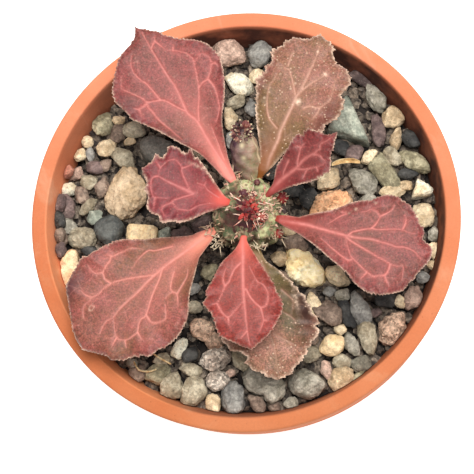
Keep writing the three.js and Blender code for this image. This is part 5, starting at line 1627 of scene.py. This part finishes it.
def grit_tree():
    """Small angular stones over a bed, at random sizes and turns."""
    tree, given, result = new_tree("grit", (
        ("Spacing", NUMBER, 0.002), ("Density", NUMBER, 200000.0), ("Smallest", NUMBER, 0.0008),
        ("Largest", NUMBER, 0.0016), ("Seed", "NodeSocketInt", 4), ("Skin", "NodeSocketMaterial", None),
    ))
    throw = add_node(tree, "GeometryNodeDistributePointsOnFaces", {"distribute_method": "POISSON"},
                     Mesh=given["Geometry"], Distance_Min=given["Spacing"], Density_Max=given["Density"],
                     Seed=given["Seed"])
    turn = add_node(tree, "FunctionNodeRandomValue", {"data_type": "FLOAT_VECTOR"}, Seed=given["Seed"])
    turn.inputs[1].default_value = (6.28, 6.28, 6.28)
    size = add_node(tree, "FunctionNodeRandomValue", {"data_type": "FLOAT"}, Seed=given["Seed"])
    tree.links.new(given["Smallest"], size.inputs[2])
    tree.links.new(given["Largest"], size.inputs[3])
    laid = add_node(tree, "GeometryNodeInstanceOnPoints", Points=throw.outputs["Points"],
                    Instance=lumpy_stone(tree), Rotation=turn.outputs[0], Scale=size.outputs[1])
    shade = add_node(tree, "FunctionNodeRandomValue", {"data_type": "FLOAT"})
    marked = add_node(tree, "GeometryNodeStoreNamedAttribute", {"data_type": "FLOAT", "domain": "INSTANCE"},
                      Geometry=laid.outputs[0], Name="shade", Value=shade.outputs[1])
    return hand_out(marked.outputs[0], given["Skin"], result)


def points_mesh(name, roots, aims, reaches):
    mesh = bpy.data.meshes.new(name)
    mesh.from_pydata((np.array(roots) * MM).tolist(), [], [])
    aim = mesh.attributes.new("aim", "FLOAT_VECTOR", "POINT")
    aim.data.foreach_set("vector", np.array(aims, np.float32).ravel())
    reach = mesh.attributes.new("reach", "FLOAT", "POINT")
    reach.data.foreach_set("value", np.array(reaches, np.float32) * MM)
    return mesh


def tubercle_spines(draw):
    """Two pairs of spines on each tubercle, as root, aim and length."""
    spines = []
    for turn_degrees, height in TUBERCLES:
        for side in (-1, 1, -1, 1):
            turn = math.radians(turn_degrees + side * draw(7, 16))
            root = stem_surface(np.array(turn), np.array(height + draw(0.2, 1.4)))[0]
            aim = (math.cos(turn + side * draw(0, 0.8)), math.sin(turn + side * draw(0, 0.8)), draw(0.3, 1.2))
            spines.append((root, aim, draw(0.7, 1.8)))
    return spines


def bud_spines(draw):
    """Spines that lean out from the buds, fewer on the purple one and none where claws stand."""
    spines = []
    for name, (x, y, z, radius) in BUDS.items():
        count = {"bud_purple": 3, "bud_spined": 0}.get(name, 8)
        for index in range(count):
            turn = 2 * math.pi * index / count + draw(-0.3, 0.3)
            root = (x + radius * 0.7 * math.cos(turn), y + radius * 0.7 * math.sin(turn), z + radius * 0.6)
            spines.append((root, (math.cos(turn), math.sin(turn), draw(0.3, 1.2)), draw(0.7, 1.4)))
    return spines


def bristles(draw):
    """Loose bunches of longer spines on the stem's sides."""
    spines = []
    for x, y, z, count in BRISTLES:
        for _ in range(count):
            turn = draw(0, 2 * math.pi)
            root = (x + draw(-1.6, 1.6), y + draw(-1.6, 1.6), z + draw(-1, 1))
            spines.append((root, (math.cos(turn), math.sin(turn), draw(-0.2, 0.9)), draw(1.2, 2.6)))
    return spines


def claw(root, turn, length, bend, rise, drop, thick):
    """A tapering spine that leaves its root outward and bends sideways and down."""
    path = []
    for step in range(9):
        share = step / 8
        heading = turn + bend * share
        out = length * share
        path.append((root[0] + out * math.cos(heading), root[1] + out * math.sin(heading),
                     root[2] + length * (rise * share - drop * share ** 2)))
    return tube(path, [thick * (1 - 0.8 * index / 8) for index in range(9)], 6)


def stout_claws(draw):
    """Claws from given roots to given tips, round the crown."""
    parts = []
    for x, y, end_x, end_y, thick in STOUT_CLAWS:
        root = (x, y, crown_level(x, y, *CLAW_LEVEL))
        turn = math.atan2(end_y - y, end_x - x)
        bend = draw(-0.3, 0.3)
        length = math.hypot(end_x - x, end_y - y)
        parts.append(claw(root, turn - bend / 2, length, bend, 0.45, 0.3, thick * 0.8))
    return parts


def curled_claws(draw):
    """Small curled claws on the stem's shoulder, right of the crown."""
    parts = []
    for index in range(CLAWS):
        turn = math.radians(-60 + 100 * (index + draw(-0.4, 0.4)) / CLAWS)
        root = stem_surface(np.array(turn), np.array(draw(105.2, 107.4)))[0]
        heading, length, bend = turn + draw(-0.8, 0.8), draw(0.9, 1.7), draw(-1.6, 1.6)
        parts.append(claw(root, heading, length, bend, draw(0.5, 1.0), 0.6, 0.17))
    return parts


def bud_claws(draw):
    """Rings of claws that close over two of the buds."""
    parts, count = [], 9
    for (x, y, z, radius), length in ((BUDS["bud_spined"], 0.9), (SMALL_BUDS["bud_ring"], 0.7)):
        for index in range(count):
            turn = 2 * math.pi * (index + draw(-0.3, 0.3)) / count
            root = (x + 0.55 * math.cos(turn), y + 0.55 * math.sin(turn), z + radius * 0.7)
            parts.append(claw(root, turn, length * draw(0.8, 1.4), draw(-0.9, 0.9), 0.7, 0.8, 0.21))
    return parts


def stalk_claws(draw):
    """A short pair of claws beside the stalk of each leaf."""
    parts = []
    for leaf in LEAVES.values():
        heading = math.radians(leaf["turn"])
        x, y, z = leaf["base"]
        for side in (-1, 1):
            root = (x - 0.3 * math.cos(heading) - side * 1.7 * math.sin(heading),
                    y - 0.3 * math.sin(heading) + side * 1.7 * math.cos(heading), z + 0.2)
            parts.append(claw(root, heading + side * 0.9, draw(0.7, 1.2), 0.3, 1.4, 0.3, 0.36))
    return parts


def build_claws():
    draw = make_draw(CLAW_SEED)
    parts = [part for grow in (stout_claws, curled_claws, bud_claws, stalk_claws) for part in grow(draw)]
    points, faces = join_parts(parts)
    horn = mineral_material("claw_horn", (236, 212, 190), (208, 140, 124), 0.0, 0.5, patch=420.0, bump=0.2)
    make_mesh_piece("crown_claws", points, faces, horn, "stem", (), {"shade": 0.7})


def build_spines():
    draw = make_draw(SPINE_SEED)
    roots, aims, reaches = zip(*tubercle_spines(draw), *bud_spines(draw), *bristles(draw))
    material = mineral_material("spine_horn", (240, 222, 190), (206, 168, 136), 0.0, 0.55, bump=0.2)
    mesh = points_mesh("spine_seeds", roots, aims, reaches)
    piece = run_tree("stem_spines", mesh, spine_tree(), {
        "Thickness": settings().stem.spine_thickness, "Sides": 7, "Skin": material})
    declare(piece, "stem")


def build_grit():
    options = settings().mulch
    points, rings, sides = bed_points()
    faces = []
    for ring in range(rings - 1):
        for side in range(sides):
            after = (side + 1) % sides
            low, high = ring * sides, (ring + 1) * sides
            faces.append((low + side, high + side, high + after, low + after))
    faces.append(tuple(range(sides)))
    material = mineral_material("grit_mix", (146, 132, 117), (66, 60, 57), 0.4, 0.9, patch=420.0, grains=0.6)
    bed = bpy.data.meshes.new("bed_seed")
    bed.from_pydata((points * MM).tolist(), [], faces)
    piece = run_tree("mulch_grit", bed, grit_tree(), {
        "Spacing": options.grit_spacing, "Density": GRIT_DENSITY, "Smallest": options.grit_smallest,
        "Largest": options.grit_largest, "Seed": GRIT_SEED, "Skin": material})
    declare(piece, "gravel")
    floor = points.copy()
    floor[:, 2] = BED_FLOOR
    both = np.vstack([points, floor])
    edge = range((rings - 1) * sides, rings * sides)
    closed = closed_sheet(faces, edge, len(points))
    # Painted shade: the bed under the stones is near black, standing in for the shade in the gaps between
    # them.
    soil = mineral_material("mulch_bed_shade", (52, 46, 43), (31, 28, 28), 0.2, 0.95)
    make_mesh_piece("mulch_bed_shade", both, closed, soil, "gravel", (), {"shade": 0.4})


# Leaves

def toothed(margin, centre, tooth, scallop, draw):
    """Moves the points of a margin out and in by small uneven teeth and longer scallops."""
    steps = np.linalg.norm(np.diff(margin, axis=0), axis=1)
    reach = np.concatenate([[0], np.cumsum(steps)])
    knots, values, at = [0.0], [0.0], 0.0
    while at < reach[-1]:
        size = tooth * draw(0.3, 1.3)
        at += draw(0.5, 0.9)
        knots.append(at)
        values.append(size * 0.8)
        at += draw(0.12, 0.3)
        knots.append(at)
        values.append(-size * 0.5)
    wave = np.interp(reach, knots, values)
    wave += scallop[0] * np.sin(2 * math.pi * reach / scallop[1] + 1.5 * np.sin(reach * 0.7))
    share = reach / reach[-1]
    wave *= np.clip((share - 0.2) / 0.15, 0, 1) * np.clip((1.01 - share) / 0.05, 0, 1)
    away = margin - centre
    away /= np.maximum(np.linalg.norm(away, axis=1), 1e-6)[:, None]
    return margin + away * wave[:, None]


def blade_height(leaf, u, share, across, side):
    """Height of the blade's middle layer above the leaf's base."""
    along = np.clip(u / leaf["tip"][0], 0, 1)
    root = np.minimum(u, 0) * 0.6
    arch = leaf["arch"] * 4 * along * (1 - along)
    channel = leaf["channel"] * across ** 2 * np.sin(math.pi * (0.15 + 1.05 * along))
    ripple = np.sin(2 * math.pi * leaf["waves"] * share + side)
    waving = leaf["wave"] * across ** 2 * np.minimum(1, along * 3)
    return leaf["rise"] * along + root + arch + channel + waving * ripple


def near_lines(points, lines, widths):
    """How near each point is to any of the lines, which fade and narrow to their ends: core and haze."""
    mask, haze = np.zeros(len(points)), np.zeros(len(points))
    for line, (wide, narrow) in zip(lines, widths):
        path = smooth_path(line, 0.25)
        share = np.linspace(0, 1, len(path))
        width = wide + (narrow - wide) * share
        strength = 1 - 0.45 * share ** 2
        gap = np.linalg.norm(points[:, None, :] - path[None, :, :], axis=2)
        mask = np.maximum(mask, (strength * np.exp(-(gap / width) ** 2)).max(axis=1))
        haze = np.maximum(haze, (strength * np.exp(-gap / (0.5 + width))).max(axis=1))
    return mask, haze


def leaf_grid(leaf, rows, columns, seed):
    """Blade seen in its own frame: points by row from stalk to tip and across from right to left."""
    draw = make_draw(seed)
    share = np.linspace(0, 1, rows + 1)
    tip = np.array(leaf["tip"], float)
    centre = np.stack([-STALK_DEPTH + (tip[0] + STALK_DEPTH) * share, tip[1] * share], 1)
    halves = []
    for side, key in ((-1, "right"), (1, "left")):
        knots = [(-STALK_DEPTH, side * STALK_HALF_WIDTH), *leaf[key], leaf["tip"]]
        margin = toothed(smooth_path(knots, rows), centre, leaf["tooth"], leaf.get("scallop", (0, 1)), draw)
        halves.append((side, margin))
    across = np.linspace(-1, 1, 2 * columns + 1)
    grid = np.zeros((rows + 1, len(across), 2))
    heights = np.zeros((rows + 1, len(across)))
    for column, value in enumerate(across):
        side, margin = halves[0] if value < 0 else halves[1]
        narrow = np.clip((centre[:, 0] + 2.4) / 3.6, 0.3, 1) ** 0.6
        flat = centre + (margin - centre) * (abs(value) * narrow)[:, None]
        grid[:, column] = flat
        heights[:, column] = blade_height(leaf, flat[:, 0], share, abs(value), side if value else 0)
    return grid, heights, across, [margin for _, margin in halves]


def patches_on(flat, leaf, kind):
    """Soft patches of one kind on a blade, as rings where they have a hollow."""
    mask = np.zeros(len(flat))
    for patch_kind, u, v, long, wide, strength, hollow in leaf["patches"]:
        if patch_kind == kind:
            gap = np.hypot((flat[:, 0] - u) / long, (flat[:, 1] - v) / wide)
            mask = np.maximum(mask, strength * np.exp(-((gap - hollow) / (1 - hollow)) ** 2))
    return np.clip(mask, 0, 1)


def edge_gap(flat, margins):
    """Distance of each point from the nearest point of the margins."""
    edge = np.vstack(margins)
    gap = np.full(len(flat), FARTHEST_GAP)
    for start in range(0, len(edge), 200):
        chunk = edge[start:start + 200]
        gap = np.minimum(gap, np.linalg.norm(flat[:, None] - chunk[None], axis=2).min(axis=1))
    return gap


def leaf_masks(leaf, flat, along, gap, lobe):
    """Veins and their haze, warmth from the stalk, pale rim with its spots, and patches."""
    widths = [MIDRIB_WIDTHS] + [VEIN_WIDTHS] * len(leaf["veins"])
    vein, haze = near_lines(flat, [leaf["midrib"], *leaf["veins"]], widths)
    vein *= np.clip(gap / 0.8, 0, 1) * np.clip((along + 0.04) / 0.22, 0.1, 1)
    glow = np.exp(-(along / 0.19) ** 2) * np.exp(-(flat[:, 1] / (0.5 * lobe + 0.4)) ** 2)
    glow = np.clip(glow * 1.4, 0, 1)
    tint = np.exp(-(along / 0.42) ** 2) * np.exp(-(flat[:, 1] / (0.4 * lobe + 0.3)) ** 2)
    glow = np.maximum(glow, leaf.get("flush", FLUSH) * tint)
    width, strength = leaf["rim"]
    rim = strength * np.exp(-(gap / width) ** 2) * np.clip((along - 0.05) / 0.2, 0.35, 1)
    rim = np.maximum(rim, patches_on(flat, leaf, "spot"))
    patches = {kind: patches_on(flat, leaf, kind) for kind in ("inner", "outer")}
    return {"vein": vein, "haze": haze, "glow": glow, "rim": rim, **patches}


def rumple(leaf, flat, along, gap, reach, seed):
    """Broad swells towards the sides of a blade and a frill along its margin."""
    points = np.column_stack([flat, np.zeros(len(flat))])
    swells = 0.22 * noise_field(points, 0.22, seed, 3) * reach * np.clip(along * 4, 0, 1)
    frill = noise_field(points, 0.9, seed + 9, 2)
    return swells, (0.25 + leaf["tooth"]) * frill * np.exp(-gap / 0.8) * np.clip(along * 3 - 0.6, 0, 1)


def build_leaf(name, leaf, seed):
    spacing = settings().leaf.vertex_spacing
    rows = int(leaf["tip"][0] * 1.15 / (spacing * 1000))
    widest = max(abs(pair[1]) for pair in (*leaf["left"], *leaf["right"]))
    columns = int(widest / (spacing * 1250))
    grid, heights, across, margins = leaf_grid(leaf, rows, columns, seed)
    wide = len(across)
    flat = np.vstack([grid[:rows].reshape(-1, 2), grid[rows, columns]])
    reach = np.append(np.tile(np.abs(across), rows), 1.0)
    half = np.linalg.norm(grid[:rows, [0, -1]] - grid[:rows, [columns, columns]], axis=2).max(axis=1)
    lobe = np.append(np.repeat(half, wide), 0.5)
    along = np.clip(flat[:, 0] / leaf["tip"][0], 0, 1)
    gap = edge_gap(flat, margins)
    masks = {"across": reach, **leaf_masks(leaf, flat, along, gap, lobe)}
    fade = np.exp(-np.maximum(flat[:, 0], 0) / STALK_FADE)
    thick = BLADE * (1 - 0.55 * reach ** 6) + STALK * fade * (1 - reach ** 2)
    swells, frill = rumple(leaf, flat, along, gap, reach, seed)
    height = np.append(heights[:rows].ravel(), heights[rows, columns]) + swells + frill
    turn = math.radians(leaf["turn"])
    x = leaf["base"][0] + flat[:, 0] * math.cos(turn) - flat[:, 1] * math.sin(turn)
    y = leaf["base"][1] + flat[:, 0] * math.sin(turn) + flat[:, 1] * math.cos(turn)
    sides = [np.stack([x, y, leaf["base"][2] + height + thick * lift - dent * masks["vein"]], 1)
             for lift, dent in zip((ABOVE_MIDDLE, -BELOW_MIDDLE), VEIN_DENTS)]
    make_mesh_piece(name + "_blade", np.vstack(sides), leaf_faces(rows, wide, len(flat)),
                    leaf_material(name, *leaf["tones"]), "leaf", (name,),
                    {key: np.tile(values, 2) for key, values in masks.items()})


def leaf_faces(rows, wide, count):
    """Faces of a closed blade whose rows meet in one point at the tip."""
    upper = sheet_rows(rows, wide)
    last = (rows - 1) * wide
    tip = count - 1
    upper += [(last + column, tip, last + column + 1) for column in range(wide - 1)]
    loop = [row * wide for row in range(rows)] + [tip]
    loop += [row * wide + wide - 1 for row in reversed(range(rows))]
    loop += list(reversed(range(1, wide - 1)))
    return closed_sheet(upper, loop, count)


# Dry scraps

def build_flake(dry):
    """A curled flake: narrowed at both ends, bent in plan, with its ends and sides lifted."""
    x, y, z, length, width, turn = FLAKE
    rows, wide = 31, 9
    heading = math.radians(turn)
    upper = []
    for row in range(rows):
        for column in range(wide):
            along = (row / (rows - 1) - 0.5) * length
            across = (column / (wide - 1) - 0.5) * width * (1 - (2 * row / (rows - 1) - 1) ** 4 * 0.5)
            bend = (along / length * 2) ** 2
            lift = 1.1 * bend + 1.4 * (across / width * 2) ** 2 * 0.6
            upper.append((x + along * math.cos(heading) - across * math.sin(heading),
                          y + along * math.sin(heading) + across * math.cos(heading) - 0.9 * bend, z + lift))
    upper = np.array(upper)
    upper[:, 2] += 0.25 * noise_field(upper, 0.9, 8, 2)
    count = len(upper)
    last = (rows - 1) * wide
    loop = [*range(0, last + 1, wide), *range(last + 1, count)]
    loop += [*range(last - 1, 0, -wide), *range(wide - 2, 0, -1)]
    faces = closed_sheet(sheet_rows(rows, wide), loop, count)
    points = np.vstack([upper, upper - np.array([0, 0, FLAKE_THICKNESS])])
    make_mesh_piece("dry_flake", points, faces, dry, "potting_mix", (), {"shade": 0.7})


def build_scraps():
    dry = mineral_material("dry_leaf", (232, 212, 166), (196, 160, 110), 0.1, 0.7, patch=500.0)
    build_flake(dry)
    for number, line in enumerate(TWIGS, 1):
        path = smooth_path(line, 16)
        points, faces = tube(path, [TWIG_RADIUS] * len(path), 8)
        make_mesh_piece(f"dry_twig_{number}", points, faces, dry, "potting_mix", (), {"shade": 0.8})


def dress_potting_mix():
    """The potting mix keeps its CAD solid, with a soil finish of its own."""
    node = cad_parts["potting_mix"]
    material, tree, shader = new_material("potting_soil")
    place = object_place(tree)
    crumbs = cells(place, 380.0)
    fine = grain(place, 1500.0, 5, 0.7)
    dark = blend_colour(spread(fine, 0.35, 0.65), tone((70, 54, 42)), tone((34, 26, 22)))
    pale = times(spread(crumbs, 0.1, 0.25, 1.0, 0.0),
                 spread(grain(place, 240.0, 2), 0.52, 0.6))
    soil = blend_colour(pale, dark, tone((190, 180, 160)))
    set_surface(shader, soil, spread(fine, 0.3, 0.7, 0.85, 1.0), plus(crumbs, fine), 0.5, 0.8, 0.001)
    for slot in node.material_slots:
        slot.material = material


# Studio

def build_stage():
    options = settings().studio
    mesh = bpy.data.meshes.new("floor")
    corners = [(x * FLOOR_REACH, y * FLOOR_REACH, 0) for x, y in ((-1, -1), (1, -1), (1, 1), (-1, 1))]
    mesh.from_pydata(corners, [], [(0, 1, 2, 3)])
    material, tree, shader = new_material("floor_paper")
    place = object_place(tree)
    paper = blend_colour(grain(place, 600.0, 3), (0.86, 0.86, 0.86, 1), (0.9, 0.9, 0.9, 1))
    tree.links.new(paper, shader.inputs["Base Color"])
    shader.inputs["Roughness"].default_value = 0.9
    shader.inputs["Emission Color"].default_value = WHITE
    shader.inputs["Emission Strength"].default_value = options.floor_glow
    mesh.materials.append(material)
    add_object("floor", mesh)
    world = bpy.data.worlds.new("studio")
    world.use_nodes = True
    backdrop = world.node_tree.nodes["Background"]
    backdrop.inputs["Color"].default_value = (1.0, 0.99, 0.98, 1)
    backdrop.inputs["Strength"].default_value = options.fill
    bpy.context.scene.world = world
    bpy.context.scene.view_settings.view_transform = "Standard"
    add_key_light(options.key_power)
    add_camera()


def add_key_light(power):
    lamp = bpy.data.lights.new("key", "AREA")
    lamp.energy = power
    lamp.size = KEY_SIZE
    lamp.color = KEY_COLOUR
    holder = add_object("key", lamp)
    holder.location = KEY_PLACE
    aim = Vector(KEY_AIM) - Vector(KEY_PLACE)
    holder.rotation_euler = aim.to_track_quat("-Z", "Y").to_euler()


def add_camera():
    data = bpy.data.cameras.new("view")
    data.sensor_width = 36.0
    data.lens = CAMERA_LENS
    data.clip_start = 0.01
    camera = add_object("view", data)
    place = Vector(CAMERA_PLACE) * MM
    back = (place - Vector(CAMERA_TARGET) * MM).normalized()
    up = Vector((0, 1, 0))
    up = (up - back * up.dot(back)).normalized()
    right = up.cross(back)
    camera.matrix_world = Matrix(((right.x, up.x, back.x, place.x), (right.y, up.y, back.y, place.y),
                                  (right.z, up.z, back.z, place.z), (0, 0, 0, 1)))
    bpy.context.scene.camera = camera


# Settings

class PotSettings(bpy.types.PropertyGroup):
    clay: bpy.props.FloatVectorProperty(
        name="Clay", description="Main colour of the fired clay", subtype="COLOR", size=3,
        default=tone((225, 133, 96))[:3], min=0, max=1)
    pale_clay: bpy.props.FloatVectorProperty(
        name="Pale Clay", description="Paler patches of the clay", subtype="COLOR", size=3,
        default=tone((229, 145, 110))[:3], min=0, max=1)
    sides: bpy.props.IntProperty(
        name="Sides", description="Steps round the pot", default=256, min=24, max=512)


class MulchSettings(bpy.types.PropertyGroup):
    grit_spacing: bpy.props.FloatProperty(
        name="Grit Spacing", description="Least distance between grit stones", unit="LENGTH",
        default=0.0021, min=0.001, max=0.01)
    grit_smallest: bpy.props.FloatProperty(
        name="Smallest Grit", description="Radius of the smallest grit stones", unit="LENGTH",
        default=0.0011, min=0.0002, max=0.003)
    grit_largest: bpy.props.FloatProperty(
        name="Largest Grit", description="Radius of the largest grit stones", unit="LENGTH",
        default=0.0022, min=0.0002, max=0.005)


class StemSettings(bpy.types.PropertyGroup):
    spine_thickness: bpy.props.FloatProperty(
        name="Spine Thickness", description="Radius of a spine at its root", unit="LENGTH",
        default=0.0002, min=0.00005, max=0.001)


class LeafSettings(bpy.types.PropertyGroup):
    vertex_spacing: bpy.props.FloatProperty(
        name="Vertex Spacing", description="Distance between points on a blade", unit="LENGTH",
        default=0.00028, min=0.0002, max=0.002)


class StudioSettings(bpy.types.PropertyGroup):
    key_power: bpy.props.FloatProperty(
        name="Key Power", description="Strength of the main lamp", unit="POWER", default=8.9, min=0, max=200)
    fill: bpy.props.FloatProperty(
        name="Fill", description="Strength of the light from all round", default=0.5, min=0, max=5)
    floor_glow: bpy.props.FloatProperty(
        name="Floor Glow", description="Light given off by the floor", default=0.7, min=0, max=2)


class PlantSettings(bpy.types.PropertyGroup):
    pot: bpy.props.PointerProperty(type=PotSettings)
    mulch: bpy.props.PointerProperty(type=MulchSettings)
    stem: bpy.props.PointerProperty(type=StemSettings)
    leaf: bpy.props.PointerProperty(type=LeafSettings)
    studio: bpy.props.PointerProperty(type=StudioSettings)


# Operators

class PLANT_OT_pot(bpy.types.Operator):
    """Turn the terracotta pot"""
    bl_idname = "plant.pot"
    bl_label = "Pot"

    def execute(self, context):
        build_pot()
        return {"FINISHED"}


class PLANT_OT_potting_mix(bpy.types.Operator):
    """Finish the potting mix"""
    bl_idname = "plant.potting_mix"
    bl_label = "Potting Mix"

    def execute(self, context):
        dress_potting_mix()
        return {"FINISHED"}


class PLANT_OT_grit(bpy.types.Operator):
    """Lay the mulch bed and its grit"""
    bl_idname = "plant.grit"
    bl_label = "Bed and Grit"

    def execute(self, context):
        build_grit()
        return {"FINISHED"}


class PLANT_OT_gravel(bpy.types.Operator):
    """Lay the smaller stones, one piece for each kind"""
    bl_idname = "plant.gravel"
    bl_label = "Gravel"

    def execute(self, context):
        build_gravel()
        return {"FINISHED"}


class PLANT_OT_large_stones(bpy.types.Operator):
    """Set the large stones on the mulch"""
    bl_idname = "plant.large_stones"
    bl_label = "Large Stones"

    def execute(self, context):
        build_large_stones()
        return {"FINISHED"}


class PLANT_OT_scraps(bpy.types.Operator):
    """Scatter the dry flake and twigs"""
    bl_idname = "plant.scraps"
    bl_label = "Dry Scraps"

    def execute(self, context):
        build_scraps()
        return {"FINISHED"}


class PLANT_OT_stem(bpy.types.Operator):
    """Grow the stem and the side shoot"""
    bl_idname = "plant.stem"
    bl_label = "Stem and Shoot"

    def execute(self, context):
        build_stem()
        build_side_shoot()
        return {"FINISHED"}


class PLANT_OT_crowns(bpy.types.Operator):
    """Grow the two crowns of young leaves"""
    bl_idname = "plant.crowns"
    bl_label = "Crowns"

    def execute(self, context):
        build_crown("crown_leaves", "crown", HEART, 2.2, CROWN_RINGS, CROWN_SEED, "young_growth")
        build_scales()
        build_crown("shoot_crown_leaves", "shoot_crown", SHOOT_LINE[-1], 1.9, SHOOT_RINGS, SHOOT_SEED,
                    "shoot_growth")
        return {"FINISHED"}


class PLANT_OT_buds(bpy.types.Operator):
    """Grow the buds on the stem"""
    bl_idname = "plant.buds"
    bl_label = "Buds"

    def execute(self, context):
        for name, bud in (BUDS | SMALL_BUDS).items():
            build_bud(name, *bud)
        return {"FINISHED"}


class PLANT_OT_spines(bpy.types.Operator):
    """Set the pale spines"""
    bl_idname = "plant.spines"
    bl_label = "Spines"

    def execute(self, context):
        build_spines()
        build_claws()
        return {"FINISHED"}


class PLANT_OT_leaves(bpy.types.Operator):
    """Grow the eight leaves"""
    bl_idname = "plant.leaves"
    bl_label = "Leaves"

    def execute(self, context):
        for index, (name, leaf) in enumerate(LEAVES.items()):
            build_leaf(name, leaf, LEAF_SEED + index)
        return {"FINISHED"}


class PLANT_OT_stage(bpy.types.Operator):
    """Set the floor, the lights and the camera"""
    bl_idname = "plant.stage"
    bl_label = "Studio"

    def execute(self, context):
        build_stage()
        return {"FINISHED"}


OPERATORS = (
    PLANT_OT_stage, PLANT_OT_pot, PLANT_OT_potting_mix, PLANT_OT_grit, PLANT_OT_gravel, PLANT_OT_large_stones,
    PLANT_OT_scraps, PLANT_OT_stem, PLANT_OT_crowns, PLANT_OT_buds, PLANT_OT_spines, PLANT_OT_leaves,
)


class PLANT_PT_panel(bpy.types.Panel):
    """Buttons that build the plant piece by piece"""
    bl_idname = "PLANT_PT_panel"
    bl_label = "Potted Plant"
    bl_space_type = "VIEW_3D"
    bl_region_type = "UI"
    bl_category = "Plant"

    def draw(self, context):
        options = context.scene.plant
        for group in (options.pot, options.mulch, options.stem, options.leaf, options.studio):
            box = self.layout.box()
            for key in group.__annotations__:
                box.prop(group, key)
        for operator in OPERATORS:
            self.layout.operator(operator.bl_idname)


CLASSES = (
    PotSettings, MulchSettings, StemSettings, LeafSettings, StudioSettings, PlantSettings,
    *OPERATORS, PLANT_PT_panel,
)


def register():
    for item in CLASSES:
        bpy.utils.register_class(item)
    bpy.types.Scene.plant = bpy.props.PointerProperty(type=PlantSettings)


def unregister():
    del bpy.types.Scene.plant
    for item in reversed(CLASSES):
        bpy.utils.unregister_class(item)


def main():
    register()
    for operator in OPERATORS:
        getattr(bpy.ops.plant, operator.bl_idname.split(".")[1])()
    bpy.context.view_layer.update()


if __name__ == "__main__":
    main()
